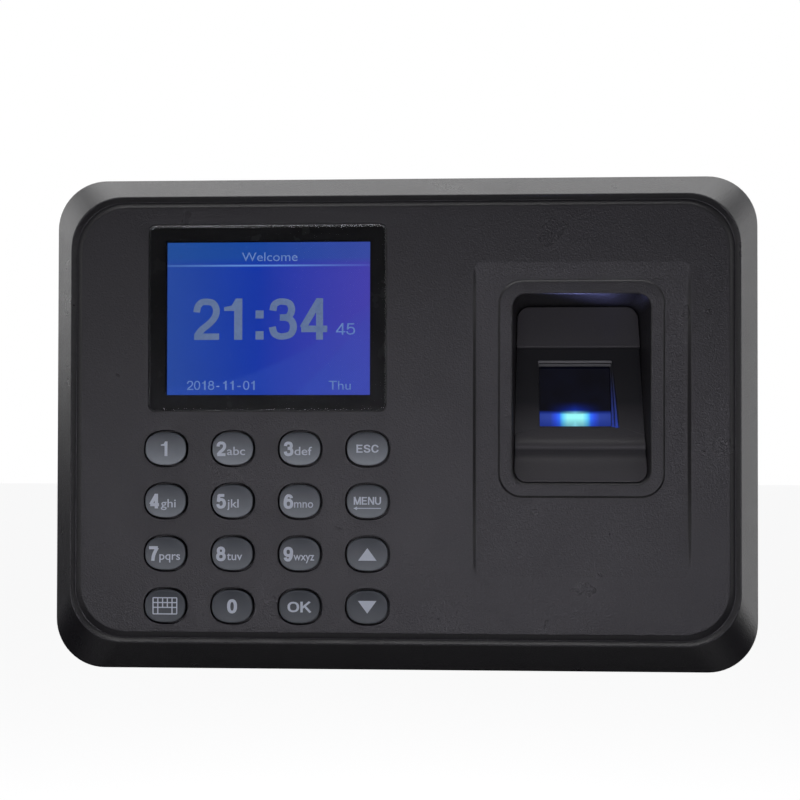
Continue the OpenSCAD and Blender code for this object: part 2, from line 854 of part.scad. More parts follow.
module lcd_backlight() {
    dent = 0.4;
    edge = 3;
    color([0.85, 0.86, 0.88])
        stand_up()
            difference() {
                box([lcd_x - lcd_w / 2, picture_y - lcd_h / 2, lcd_tray_z],
                    [lcd_x + lcd_w / 2, picture_y + lcd_h / 2, lcd_glass_z - rest_gap]);
                box([lcd_x - lcd_w / 2 + edge, picture_y - lcd_h / 2 + edge, lcd_tray_z - cut],
                    [lcd_x + lcd_w / 2 - edge, picture_y + lcd_h / 2 - edge, lcd_tray_z + dent]);
            }
}

module lcd_foam() {
    low = lcd_front_z + rest_gap;
    top = face_back_z - rest_gap;
    border = 1.6;
    color([0.12, 0.12, 0.12])
        stand_up()
            difference() {
                box([lcd_x - lcd_w / 2 + 1, picture_y - lcd_h / 2 + 0.3, low],
                    [lcd_x + lcd_w / 2 - 1, picture_y + lcd_h / 2 - 0.3, top]);
                box([screen_x - picture_w / 2 - border, picture_y - picture_h / 2 - border,
                    low - cut],
                    [screen_x + picture_w / 2 + border, picture_y + picture_h / 2 + border,
                    top + cut]);
            }
}

module lcd_flex() {
    edge = lcd_x + lcd_w / 2;
    z0 = lcd_glass_z + lcd_glass_t / 2;
    z1 = board_z + 0.6;
    flex_t = 0.25;
    flex_w = 24;
    color([0.75, 0.45, 0.1])
        stand_up()
            strip([[edge + rest_gap, z0], [edge + 2.2, z0 - 0.3], [edge + 3.2, z0 - 1.4],
                [edge + 3.2, z1 + 1.2], [edge + 2.6, z1 + 0.3], [edge + 1, z1]], flex_t,
                picture_y, flex_w);
}

/* Keypad */

module keypad_mat() {
    margin = key_flange + 0.3;
    corner_r = 2;
    edge_x = 1.5 * key_pitch_x + key_w / 2 + margin;
    edge_y = 1.5 * key_pitch_y + key_h / 2 + margin;
    middle_y = key_y0 + 1.5 * key_pitch_y;
    color([0.55, 0.56, 0.56])
        stand_up()
            difference() {
                slab(round_rect(screen_x - edge_x, screen_x + edge_x,
                    middle_y - edge_y, middle_y + edge_y, corner_r),
                    board_z + rest_gap, board_z + rest_gap + mat_t);
                for (column = [0:3])
                    for (row = [0:3])
                        post(key_x0 + column * key_pitch_x, key_y0 + row * key_pitch_y,
                            board_z - cut, board_z + mat_t + cut, key_plunger_r + mat_gap);
            }
}

// Key at a column counted from the left and a row counted from the top
module key(column, row) {
    edge = 0.5;
    color([0.34, 0.36, 0.39])
        stand_up()
            translate([key_x0 + column * key_pitch_x, key_y0 + (3 - row) * key_pitch_y, 0])
                union() {
                    loft([key_flange_z + key_flange_t / 2, key_top_z - edge, key_top_z],
                        [key_outline(0), key_outline(0), key_outline(-edge)]);
                    slab(key_outline(key_flange), key_flange_z, key_flange_z + key_flange_t);
                    post(0, 0, key_tip_z, key_flange_z + key_flange_t / 2, key_plunger_r);
                }
}

/* Main board */

// Small black package on the back of the main board
module board_chip(x, y, w, h, t) {
    box([x - w / 2, y - h / 2, board_back_z - rest_gap - t],
        [x + w / 2, y + h / 2, board_back_z - rest_gap]);
}

module main_board() {
    color([0.05, 0.32, 0.14])
        stand_up()
            difference() {
                union() {
                    box([board_x0, board_y0, board_back_z], [board_x1, board_y1, board_z]);
                    box([tongue_x0, tongue_y0, board_back_z],
                        [board_x0 + 1, tongue_y1, board_z]);
                }
                at_board_screws()
                    post(0, 0, board_back_z - cut, board_z + cut, small_screw_r + hole_gap);
            }
}

module processor() {
    color([0.08, 0.08, 0.09])
        stand_up()
            board_chip(chip_x, chip_y, 14, 14, 1.4);
}

module memory_chips() {
    pitch = 16;
    color([0.08, 0.08, 0.09])
        stand_up()
            for (i = [1, 2])
                board_chip(chip_x, chip_y - i * pitch, 12, 8, 1.1);
}

module crystal() {
    color([0.7, 0.7, 0.72])
        stand_up()
            board_chip(side_x, chip_y, 4.6, 11, 3.4);
}

// Two tall and a row of small capacitors
module capacitors() {
    can_r = 3.1;
    can_h = 5.4;
    can_x = screen_x - 12;
    can_y = -18;
    can_pitch = 9;
    row_y = -20;
    row_pitch = 3;
    color([0.6, 0.6, 0.62])
        stand_up() {
            for (i = [0, 1])
                post(can_x, can_y - i * can_pitch, board_back_z - rest_gap - can_h,
                    board_back_z - rest_gap, can_r);
            for (i = [0:5])
                board_chip(side_x, row_y - i * row_pitch, 2, 1.2, 0.9);
        }
}

// Connectors for the speaker's lead and the sensor's cable
module board_connectors() {
    lead_h = 8;
    cable_h = 12;
    color([0.9, 0.88, 0.8])
        stand_up() {
            board_chip(lead_x, lead_y, connector_w, lead_h, connector_t);
            board_chip(cable_x, cable_y, connector_w, cable_h, connector_t);
        }
}

module cell_holder() {
    ring_t = 1.6;
    z = board_back_z - rest_gap;
    low = z - cell_t - 1;
    color([0.1, 0.1, 0.1])
        stand_up()
            difference() {
                post(cell_x, cell_y, low, z, cell_r + ring_t);
                post(cell_x, cell_y, low - cut, z - cell_floor, cell_r + loose_gap);
            }
}

module coin_cell() {
    step_h = 0.4;
    step_in = 1.2;
    z = board_back_z - cell_floor - 2 * rest_gap;
    color([0.78, 0.78, 0.8])
        stand_up() {
            post(cell_x, cell_y, z - cell_t + step_h, z, cell_r);
            post(cell_x, cell_y, z - cell_t, z - cell_t + step_h, cell_r - step_in);
        }
}

module usb_shell() {
    color([0.8, 0.8, 0.82])
        stand_up()
            difference() {
                box([usb_x0, usb_y - usb_w / 2, usb_z1 - usb_h],
                    [usb_x0 + usb_l, usb_y + usb_w / 2, usb_z1]);
                box([usb_x0 - cut, usb_y - usb_w / 2 + usb_t, usb_z1 - usb_h + usb_t],
                    [usb_x0 + usb_l - usb_t, usb_y + usb_w / 2 - usb_t, usb_z1 - usb_t]);
            }
}

// Insulator in the USB socket: a block at the back that carries the thin tongue
module usb_tongue() {
    side = usb_t + 0.1;
    block_l = 5;
    set_back = 0.8;
    tongue_side = side + 0.5;
    tongue_t = 1.8;
    tongue_z1 = usb_z1 - usb_t - 0.9;
    color([0.92, 0.92, 0.9])
        stand_up() {
            box([usb_x0 + usb_l - block_l, usb_y - usb_w / 2 + side, usb_z1 - usb_h + side],
                [usb_x0 + usb_l - side, usb_y + usb_w / 2 - side, usb_z1 - side]);
            box([usb_x0 + set_back, usb_y - usb_w / 2 + tongue_side, tongue_z1 - tongue_t],
                [usb_x0 + usb_l - block_l + 1, usb_y + usb_w / 2 - tongue_side, tongue_z1]);
        }
}

module jack_body() {
    color([0.06, 0.06, 0.06])
        stand_up()
            difference() {
                box([jack_x0, jack_y - jack_w / 2, jack_z1 - jack_h],
                    [jack_x0 + jack_l, jack_y + jack_w / 2, jack_z1]);
                translate([jack_x0 - cut, jack_y, jack_axis_z])
                    rotate([0, 90, 0])
                        cylinder(r = jack_r, h = jack_pin_back + jack_pin_l + cut);
            }
}

module jack_pin() {
    tip = 0.5;
    color([0.8, 0.8, 0.78])
        stand_up()
            translate([jack_x0 + jack_pin_back + tip, jack_y, jack_axis_z])
                rotate([0, 90, 0])
                    union() {
                        cylinder(r = jack_pin_r, h = jack_pin_l - tip - rest_gap);
                        translate([0, 0, -tip])
                            cylinder(r1 = jack_pin_r - 0.3, r2 = jack_pin_r, h = tip);
                    }
}

/* Speaker */

module speaker_frame() {
    face_t = 0.6;
    color([0.2, 0.2, 0.21])
        stand_up()
            difference() {
                post(speaker_x, speaker_y, speaker_z, speaker_z + speaker_t, speaker_r);
                post(speaker_x, speaker_y, speaker_z - cut, speaker_z + speaker_t - face_t,
                    speaker_r - speaker_rim);
            }
}

module speaker_cone() {
    t = 0.3;
    r = speaker_r - speaker_rim - loose_gap;
    dome_r = r * 0.35;
    surround_r = r * 0.8;
    rise = (speaker_t - 1) * 0.9;
    dip = (speaker_t - 1) * 0.5;
    color([0.25, 0.24, 0.23])
        stand_up()
            translate([speaker_x, speaker_y, speaker_z + 0.2])
                rotate_extrude()
                    polygon([[0, dip], [dome_r, rise], [surround_r, 0], [r, 0],
                        [r, t], [surround_r, t], [dome_r, rise + t], [0, dip + t]]);
}

module speaker_magnet() {
    color([0.66, 0.67, 0.7])
        stand_up()
            post(speaker_x, speaker_y, speaker_z + speaker_t + rest_gap,
                speaker_z + speaker_t + rest_gap + magnet_t, magnet_r);
}

// Two wires from the speaker's frame to the connector on the main board
module speaker_lead() {
    wire_r = 0.6;
    start = [speaker_x + magnet_r + 2, speaker_y - 2, speaker_z + speaker_t + wire_r + loose_gap];
    end = [lead_x - connector_w / 2 - wire_r - loose_gap, lead_y,
        board_back_z - connector_t / 2];
    route = [start, start + [6, 1, 2], end + [-6.75, 0, -2], end];
    color([0.6, 0.1, 0.1])
        stand_up()
            for (side = [-1, 1])
                for (i = [0:len(route) - 2])
                    hull()
                        for (p = [route[i], route[i + 1]])
                            translate(p + [0, side * wire_r * 1.15, 0])
                                sphere(r = wire_r, $fn = 8);
}

/* Finger sensor */

// Side view of the insert's front surface, from the top end down, as heights and levels
function floor_line() = [
    [well_y1 + 1, rim_z - floor_depth(well_y1)],
    [panel_y, rim_z - floor_depth(panel_y)],
    [bed_start_y, bed_z(bed_start_y, 0)],
    [bed_end_y, bed_z(bed_end_y, 0)],
    [ridge_y, rim_z - floor_depth(ridge_y) + 0.1],
    [ridge_y - ridge_w, rim_z - floor_depth(ridge_y) + 0.2],
    [hollow_y, rim_z - floor_depth(hollow_y) - hollow_depth],
    [hollow_y - hollow_w, rim_z - floor_depth(hollow_y) - hollow_depth + 0.1],
    [well_y0 - 1, rim_z - floor_depth(well_y0) + 0.2]];

// Prism-shaped piece: a side view drawn in y and z, as wide in x as asked for
module side_view(x, width, outline) {
    translate([x - width / 2, 0, 0])
        rotate([90, 0, 90])
            linear_extrude(width)
                polygon(outline);
}

// Level of a plane parallel to the finger bed, some distance behind it
function bed_z(y, behind) = rim_z - floor_depth(y) - bed_drop - behind;

// Opening around the window, stepped inwards twice towards the glass
module window_steps() {
    for (step = [0:2])
        let (grow = window_step * (2 - step),
            deep = step == 2 ? insert_t + 1 : window_step_depth * (step + 1),
            low_y = window_y0 - grow * 0.3,
            top_y = window_y1 + grow)
        side_view(window_x, window_w + 2 * grow,
            [[low_y, bed_z(window_y0, deep)], [top_y, bed_z(top_y, deep)],
             [top_y, rim_z], [low_y, rim_z]]);
}

module sensor_insert() {
    line = floor_line();
    back = [for (i = [len(line) - 1:-1:0]) line[i] - [0, insert_t]];
    color([0.12, 0.115, 0.11])
        stand_up()
            difference() {
                intersection() {
                    side_view(well_x, well_w, concat(line, back));
                    well_space(-insert_gap);
                }
                window_steps();
            }
}

// Side view of the prism, grown by an amount
function prism_outline(grow) =
    let (front = insert_t + rest_gap - grow)
    [[prism_y1 + grow, bed_z(prism_y1 + grow, front)],
     [prism_y0 - grow, bed_z(prism_y0 - grow, front)],
     [prism_y0 - grow, bed_z(prism_y0 - grow, front + prism_t * 0.6 + 2 * grow)],
     [prism_y0 + 4, bed_z(prism_y0 + 4, front + prism_t + 2 * grow)],
     [prism_y1 + grow, bed_z(prism_y1 + grow, front + prism_t + 2 * grow)]];

module sensor_prism() {
    color([0.08, 0.12, 0.3])
        stand_up()
            side_view(window_x, prism_w, prism_outline(0));
}

// Outside of the housing in side view
function housing_outline(front) =
    [[optics_y1, bed_z(optics_y1, front)], [optics_y1, optics_z],
     [optics_y0, optics_z], [optics_y0, bed_z(optics_y0, front + 2)]];

module sensor_housing() {
    front = insert_t + 0.4;
    seat = front + prism_t / 2;
    behind = front + prism_t + 0.5;
    inner_w = min(optics_w - 2 * optics_wall, neck_w - 2);
    top_y = optics_y1 - optics_wall;
    low_y = prism_y0 - 3.4;
    color([0.1, 0.1, 0.11])
        stand_up()
            difference() {
                union() {
                    side_view(window_x, neck_w, housing_outline(front));
                    intersection() {
                        side_view(window_x, optics_w, housing_outline(front));
                        box([window_x - optics_w, optics_y0 - cut, optics_z - cut],
                            [window_x + optics_w, optics_y1 + cut, collar_z - loose_gap]);
                    }
                    for (y = ear_ys)
                        box([well_x - ear_x - small_boss_r, y - ear_h / 2, ear_z],
                            [well_x + ear_x + small_boss_r, y + ear_h / 2, ear_z + ear_t]);
                }
                side_view(window_x, prism_w + 2 * loose_gap, prism_outline(loose_gap));
                side_view(window_x, inner_w,
                    [[top_y, optics_z - cut], [low_y, optics_z - cut],
                     [low_y, bed_z(low_y, behind + 0.5)],
                     [prism_y0 + 2, bed_z(prism_y0, seat)],
                     [prism_y1 - 1, bed_z(prism_y1, seat)],
                     [top_y, bed_z(top_y, behind)]]);
                at_sensor_screws()
                    post(0, 0, ear_z - cut, ear_z + ear_t + cut, small_screw_r + hole_gap);
            }
}

module sensor_board() {
    color([0.05, 0.25, 0.4])
        stand_up()
            box([window_x - optics_w / 2 - sensor_margin, optics_y0 - sensor_margin,
                sensor_board_z],
                [window_x + optics_w / 2 + sensor_margin, optics_y1 + sensor_margin,
                sensor_board_z + sensor_board_t]);
}

// Camera chip, with its lens barrel towards the prism
module sensor_camera() {
    low = sensor_board_z + sensor_board_t + rest_gap;
    base_t = 1.2;
    y = window_rise + 3;
    color([0.06, 0.06, 0.07])
        stand_up()
            union() {
                box([window_x - barrel_r, y - barrel_r, low],
                    [window_x + barrel_r, y + barrel_r, low + base_t]);
                post(window_x, y, low + base_t - cut, low + base_t + barrel_h, barrel_r - 0.5);
            }
}

module sensor_leds() {
    low = sensor_board_z + sensor_board_t + rest_gap;
    y = prism_y0 - 1.6;
    color([0.3, 0.5, 1])
        stand_up()
            for (x = [-led_pitch, 0, led_pitch])
                box([window_x + x - led_size / 2, y - led_size / 2, low],
                    [window_x + x + led_size / 2, y + led_size / 2, low + led_t]);
}

// Flat cable from the sensor's board, round and up to the connector on the main board
module sensor_cable() {
    start_x = window_x - optics_w / 2 - sensor_margin - rest_gap;
    end_x = cable_x - 1;
    low = sensor_board_z + sensor_board_t / 2;
    top = board_back_z - connector_t - 2 * rest_gap - cable_t / 2;
    color([0.75, 0.75, 0.72])
        stand_up()
            strip([[start_x, low], [start_x - 3, low], [start_x - 5, low + 1.5],
                [end_x + 2, low + 2.5], [end_x, low + 4], [end_x, top]], cable_t, cable_y, 10);
}

/* Fasteners */

module case_screws() {
    color([0.3, 0.3, 0.32])
        stand_up()
            at_case_screws()
                translate([0, 0, post_floor_z - rest_gap])
                    screw(case_screw_r, case_screw_l, case_head_r, case_head_h);
}

module board_screws() {
    color([0.7, 0.7, 0.72])
        stand_up()
            at_board_screws()
                translate([0, 0, board_back_z - rest_gap])
                    screw(small_screw_r, small_screw_l, small_head_r, small_head_h);
}

module sensor_screws() {
    color([0.7, 0.7, 0.72])
        stand_up()
            at_sensor_screws()
                translate([0, 0, ear_z - rest_gap])
                    screw(small_screw_r, small_screw_l, small_head_r, small_head_h);
}

module lock_screw() {
    color([0.3, 0.3, 0.32])
        stand_up()
            translate([0, lock_y0 - rest_gap, lock_z])
                rotate([-90, 0, 0])
                    screw(case_screw_r, lock_screw_l, case_head_r, lock_head_h);
}

/* Wall plate */

// Hook that stands out of the plate, with its lip pointing up
module hook(x, y) {
    lip_z = floor_z + plate_gap;
    box([x - hook_w / 2, y, plate_t / 2], [x + hook_w / 2, y + plate_t, lip_z + plate_t]);
    box([x - hook_w / 2, y, lip_z], [x + hook_w / 2, y + plate_t + hook_lip, lip_z + plate_t]);
}

module wall_plate() {
    tab_h = lock_z + case_screw_r + screw_gap + 2.15;
    color([0.62, 0.63, 0.65])
        stand_up()
            difference() {
                union() {
                    slab(round_rect(-plate_w / 2, plate_w / 2, -plate_bottom, plate_top,
                        plate_r), 0, plate_t);
                    for (x = [-hook_x / 2, hook_x / 2])
                        for (y = [-hook_y / 2, hook_y / 2])
                            hook(x, y);
                    box([-tab_w / 2, -plate_bottom, plate_t / 2],
                        [tab_w / 2, -plate_bottom + plate_t, tab_h]);
                }
                for (x = [-bolt_x / 2, bolt_x / 2])
                    for (y = [-bolt_y / 2, bolt_y / 2])
                        post(x, y, -cut, plate_t + cut, bolt_r);
                translate([0, -plate_bottom - cut, lock_z])
                    rotate([-90, 0, 0])
                        cylinder(r = case_screw_r + screw_gap, h = plate_t + 2 * cut);
            }
}

front_cover();
rear_cover();
screen_lens();
lens_tape();
lcd_panel();
lcd_backlight();
lcd_foam();
lcd_flex();
keypad_mat();
key(0, 0);  // key_1
key(1, 0);  // key_2
key(2, 0);  // key_3
key(3, 0);  // key_esc
key(0, 1);  // key_4
key(1, 1);  // key_5
key(2, 1);  // key_6
key(3, 1);  // key_menu
key(0, 2);  // key_7
key(1, 2);  // key_8
key(2, 2);  // key_9
key(3, 2);  // key_up
key(0, 3);  // key_input
key(1, 3);  // key_0
key(2, 3);  // key_ok
key(3, 3);  // key_down
main_board();
processor();
memory_chips();
crystal();
capacitors();
board_connectors();
cell_holder();
coin_cell();
usb_shell();
usb_tongue();
jack_body();
jack_pin();
speaker_frame();
speaker_cone();
speaker_magnet();
speaker_lead();
sensor_insert();
sensor_prism();
sensor_housing();
sensor_board();
sensor_camera();
sensor_leds();
sensor_cable();
case_screws();
board_screws();
sensor_screws();
wall_plate();
lock_screw();
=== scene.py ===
import math

import bmesh
import bpy
from mathutils import Matrix, Vector


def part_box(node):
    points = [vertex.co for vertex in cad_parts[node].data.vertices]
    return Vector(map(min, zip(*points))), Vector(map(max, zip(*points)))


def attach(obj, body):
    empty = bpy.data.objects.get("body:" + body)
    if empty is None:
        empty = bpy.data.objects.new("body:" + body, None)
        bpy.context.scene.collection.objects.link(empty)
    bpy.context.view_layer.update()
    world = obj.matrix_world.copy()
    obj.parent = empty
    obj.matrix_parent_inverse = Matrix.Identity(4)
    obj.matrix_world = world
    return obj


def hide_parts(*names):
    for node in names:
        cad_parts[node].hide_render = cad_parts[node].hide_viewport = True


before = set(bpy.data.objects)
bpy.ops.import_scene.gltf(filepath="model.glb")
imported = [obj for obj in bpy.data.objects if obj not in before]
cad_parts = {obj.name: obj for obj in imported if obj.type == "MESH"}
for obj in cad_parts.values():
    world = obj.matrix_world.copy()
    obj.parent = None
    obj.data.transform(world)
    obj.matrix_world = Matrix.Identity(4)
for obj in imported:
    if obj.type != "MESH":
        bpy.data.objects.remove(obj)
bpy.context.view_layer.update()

# The fingerprint terminal hangs upright: +Z is up, its front faces -Y, and the wall is at y = 0.
# Shapes on its front are drawn as (x, height) outlines at a level, the distance from the wall.

MM = 0.001
BODY = "terminal"
KEYS = {
    "key_1": ("1", ""), "key_2": ("2", "abc"), "key_3": ("3", "def"), "key_esc": ("ESC", ""),
    "key_4": ("4", "ghi"), "key_5": ("5", "jkl"), "key_6": ("6", "mno"), "key_menu": ("MENU", ""),
    "key_7": ("7", "pqrs"), "key_8": ("8", "tuv"), "key_9": ("9", "wxyz"), "key_up": ("up", ""),
    "key_input": ("input", ""), "key_0": ("0", ""), "key_ok": ("OK", ""), "key_down": ("down", ""),
}

# ---------------------------------------------------------------- Camera
CAMERA_AT = Vector((12.65, -328.8, -11.6)) * MM
CAMERA_LOOKS = Vector((-0.04427, 0.99894, 0.01276))
CAMERA_ROLL = math.radians(0.11)
CAMERA_LENS = 56.25
CAMERA_SHIFT_UP = 0.0654


def add_camera():
    camera = bpy.data.objects.new("camera", bpy.data.cameras.new("camera"))
    bpy.context.scene.collection.objects.link(camera)
    turn = CAMERA_LOOKS.to_track_quat("-Z", "Y").to_matrix().to_4x4()
    camera.matrix_world = Matrix.Translation(CAMERA_AT) @ turn @ Matrix.Rotation(CAMERA_ROLL, 4, "Z")
    camera.data.lens = CAMERA_LENS
    camera.data.sensor_width = 36
    camera.data.shift_y = CAMERA_SHIFT_UP
    camera.data.clip_start = 0.01
    bpy.context.scene.camera = camera


# ---------------------------------------------------------------- Lights and floor
def add_area_light(name, at, target, size, watts, colour=(1, 1, 1), spread=180):
    light = bpy.data.lights.new(name, "AREA")
    light.spread = math.radians(spread)
    light.shape = "RECTANGLE"
    light.size, light.size_y = size
    light.energy = watts
    light.color = colour
    lamp = bpy.data.objects.new(name, light)
    lamp.location = at
    lamp.rotation_euler = (Vector(target) - Vector(at)).to_track_quat("-Z", "Y").to_euler()
    bpy.context.scene.collection.objects.link(lamp)


def add_world():
    """White for the camera, and a dim studio with a brighter ceiling for what it lights."""
    world = bpy.data.worlds.new("studio")
    bpy.context.scene.world = world
    world.use_nodes = True
    nodes, links = world.node_tree.nodes, world.node_tree.links
    nodes.clear()
    out = nodes.new("ShaderNodeOutputWorld")
    mix = nodes.new("ShaderNodeMixShader")
    path = nodes.new("ShaderNodeLightPath")
    white = nodes.new("ShaderNodeBackground")
    white.inputs["Color"].default_value = (1, 1, 1, 1)
    studio = nodes.new("ShaderNodeBackground")
    coords = nodes.new("ShaderNodeTexCoord")
    split = nodes.new("ShaderNodeSeparateXYZ")
    ramp = nodes.new("ShaderNodeValToRGB")
    stops = ramp.color_ramp.elements
    stops[0].position, stops[1].position = 0.34, 0.95
    stops[0].color, stops[1].color = (0, 0, 0, 1), (0.01, 0.01, 0.01, 1)
    for at, grey in ((0.43, 0.12), (0.5, 0.03), (0.62, 0.02), (0.69, 0.14), (0.8, 0.06)):
        stops.new(at).color = (grey, grey, grey * 1.05, 1)
    half = nodes.new("ShaderNodeMapRange")
    half.inputs["From Min"].default_value = -1
    links.new(coords.outputs["Generated"], split.inputs[0])
    links.new(split.outputs["Z"], half.inputs["Value"])
    links.new(half.outputs[0], ramp.inputs["Fac"])
    links.new(ramp.outputs["Color"], studio.inputs["Color"])
    links.new(path.outputs["Is Camera Ray"], mix.inputs["Fac"])
    links.new(studio.outputs[0], mix.inputs[1])
    links.new(white.outputs[0], mix.inputs[2])
    links.new(mix.outputs[0], out.inputs["Surface"])


FLOOR_HALF, FLOOR_Z = 30.0, -0.4


def add_floor():
    bm = bmesh.new()
    corners = [bm.verts.new((x * FLOOR_HALF, y * FLOOR_HALF, FLOOR_Z))
               for x, y in ((-1, -1), (1, -1), (1, 1), (-1, 1))]
    bm.faces.new(corners)
    mesh = bpy.data.meshes.new("floor")
    bm.to_mesh(mesh)
    bm.free()
    floor = bpy.data.objects.new("floor", mesh)
    bpy.context.scene.collection.objects.link(floor)
    material = bpy.data.materials.new("floor_pale")
    material.use_nodes = True
    shader = material.node_tree.nodes["Principled BSDF"]
    shader.inputs["Base Color"].default_value = (0.8, 0.8, 0.8, 1)
    shader.inputs["Roughness"].default_value = 0.9
    shader.inputs["Emission Color"].default_value = (1, 1, 1, 1)
    shader.inputs["Emission Strength"].default_value = 0.9
    mesh.materials.append(material)
    floor.visible_glossy = False
    floor.visible_diffuse = False


# Name, place, target, size and watts, and for some a colour and a spread in degrees
LAMPS = (
    ("light_top", (0.02, 0.16, 0.5), (0, 0, 0), (0.9, 0.45), 2.25),
    ("light_top_fore", (0.02, -0.12, 0.55), (0, 0, 0), (0.9, 0.25), 2.0),
    ("light_high", (0, -0.75, 0.75), (0, 0, 0), (0.7, 0.08), 0.1),
    ("light_left", (-0.55, 0.2, 0.24), (0, 0, 0.02), (0.4, 0.4), 0.85),
    ("light_left_fore", (-0.6, -0.2, 0.1), (0, 0, 0), (0.3, 0.5), 0.42),
    ("light_right", (0.55, 0.2, 0.07), (0, 0, 0), (0.4, 0.6), 1.0),
    ("light_right_fore", (0.6, -0.2, 0.1), (0, 0, 0), (0.3, 0.5), 0.5),
    ("light_front", (0.0, -0.75, -0.07), (0, 0, 0), (0.7, 0.08), 1.3, (0.98, 0.95, 1.06)),
    ("light_front_left", (-0.55, -0.6, -0.07), (0, 0, 0), (0.2, 0.12), 0.23),
    ("light_low", (0, -0.15, -0.5), (0, 0, 0), (0.9, 0.3), 0.45),
    ("light_sensor", (0.0430, -0.0298, 0.0190), (0.0450, -0.0325, 0.030), (0.02, 0.004), 0.0012,
     (0.36, 0.4, 1.0), 80),
)


def add_studio():
    bpy.context.scene.view_settings.view_transform = "Standard"
    add_world()
    add_floor()
    for lamp in LAMPS:
        add_area_light(*lamp)


# ---------------------------------------------------------------- Outlines and meshes
CORNER_STEPS = 14


def place(x, height, level):
    """The point that is drawn at (x, height) on a level above the wall."""
    return Vector((x, -level, height)) * MM


def round_rect(x0, x1, y0, y1, r, steps=CORNER_STEPS):
    """Outline of a rectangle with round corners, anticlockwise from its right side's upper end."""
    corners = ((x1 - r, y1 - r, 0), (x0 + r, y1 - r, 90), (x0 + r, y0 + r, 180), (x1 - r, y0 + r, 270))
    points = []
    for cx, cy, start in corners:
        for i in range(steps + 1):
            angle = math.radians(start + 90 * i / steps)
            points.append((cx + r * math.cos(angle), cy + r * math.sin(angle)))
    return points


def superellipse(cx, cy, a, b, power=2.4, count=48):
    """Outline of a key: an ellipse whose sides are a little fuller."""
    points = []
    for i in range(count):
        angle = 2 * math.pi * i / count
        c, s = math.cos(angle), math.sin(angle)
        points.append((cx + a * math.copysign(abs(c) ** (2 / power), c),
                       cy + b * math.copysign(abs(s) ** (2 / power), s)))
    return points


def circle(cx, cy, r, count=48):
    return superellipse(cx, cy, r, r, 2, count)


def soften(nodes, rounds, steps=4):
    """Rounds the corners of a line of number lists: each inner node is swapped for a short curve."""
    line = [nodes[0]]
    for before, here, after, size in zip(nodes, nodes[1:], nodes[2:], rounds):
        def step_towards(other):
            gap = math.dist(here, other)
            reach = min(size, gap * 0.45) / gap
            return [h + (o - h) * reach for h, o in zip(here, other)]
        first, last = step_towards(before), step_towards(after)
        for i in range(steps + 1):
            t = i / steps
            line.append([(1 - t) ** 2 * p + 2 * t * (1 - t) * q + t ** 2 * r
                         for p, q, r in zip(first, here, last)])
    line.append(nodes[-1])
    return line


class Shell:
    """A mesh made of loops of points, the walls between them and flat faces with holes."""

    def __init__(self):
        self.bm = bmesh.new()

    def loop(self, outline, level):
        return [self.bm.verts.new(place(x, y, level)) for x, y in outline]

    def points(self, places):
        return [self.bm.verts.new(p) for p in places]

    def wall(self, a, b, skip=()):
        count = len(a)
        for i in range(count):
            if i in skip:
                continue
            j = (i + 1) % count
            self.bm.faces.new((a[i], a[j], b[j], b[i]))

    def walls(self, loops):
        for a, b in zip(loops, loops[1:]):
            self.wall(a, b)

    def grid(self, rows):
        """Faces between rows of points that all run the same way."""
        for a, b in zip(rows, rows[1:]):
            for i in range(len(a) - 1):
                self.bm.faces.new((a[i], a[i + 1], b[i + 1], b[i]))

    def edges(self, loop):
        found = []
        for a, b in zip(loop, loop[1:] + loop[:1]):
            found.append(self.bm.edges.get((a, b)) or self.bm.edges.new((a, b)))
        return found

    def face(self, loop):
        return self.bm.faces.new(loop)

    def fill(self, outer, holes, normal=(0, -1, 0)):
        """Flat face inside one loop, with holes."""
        edges = self.edges(outer)
        for hole in holes:
            edges += self.edges(hole)
        bmesh.ops.triangle_fill(self.bm, edges=edges, use_beauty=True, normal=normal)

    def finish(self, name, material, merge=2e-6, sharp=35):
        """Turns the loops and faces into an object with smooth shading between sharp edges."""
        bmesh.ops.remove_doubles(self.bm, verts=self.bm.verts, dist=merge)
        bmesh.ops.recalc_face_normals(self.bm, faces=self.bm.faces)
        mesh = bpy.data.meshes.new(name)
        self.bm.to_mesh(mesh)
        self.bm.free()
        return add_piece(name, mesh, material, sharp)


def add_piece(name, mesh, material, sharp=35):
    mesh.name = name
    mesh.materials.clear()
    mesh.materials.append(material)
    mesh.shade_smooth()
    mesh.set_sharp_from_angle(angle=math.radians(sharp))
    piece = bpy.data.objects.new(name, mesh)
    bpy.context.scene.collection.objects.link(piece)
    weigh = piece.modifiers.new("even_normals", "WEIGHTED_NORMAL")
    weigh.keep_sharp = True
    return piece


# ---------------------------------------------------------------- Sizes, in millimetres
def mm_box(node):
    low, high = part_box(node)
    return [v / MM for v in low], [v / MM for v in high]


def middle(node):
    low, high = mm_box(node)
    return (low[0] + high[0]) / 2, (low[2] + high[2]) / 2


case_low, case_high = mm_box("front_cover")
lens_low, lens_high = mm_box("screen_lens")
lcd_low = mm_box("lcd_panel")[0]
prism_low, prism_high = mm_box("sensor_prism")
insert_low, insert_high = mm_box("sensor_insert")

RIM = -case_low[1]
SPLIT = -case_high[1]
BEVEL_SIDE, BEVEL_BOTTOM, BEVEL_FALL = 5.95, 7.45, 8.35
CASE_R, RIM_R, FACE_R = 12.0, 12.5, 11.0
WALL = 2.2
WIDE = RIM - BEVEL_FALL
RIM_X = case_high[0] - BEVEL_SIDE
RIM_BOTTOM, RIM_TOP = case_low[2] + BEVEL_BOTTOM, case_high[2] - BEVEL_SIDE
GROOVE_WALL, GROOVE_SLOPE, GROOVE_DEPTH = 1.1, 1.4, 1.0
FACE = RIM - 0.3
FACE_BACK = FACE - WALL

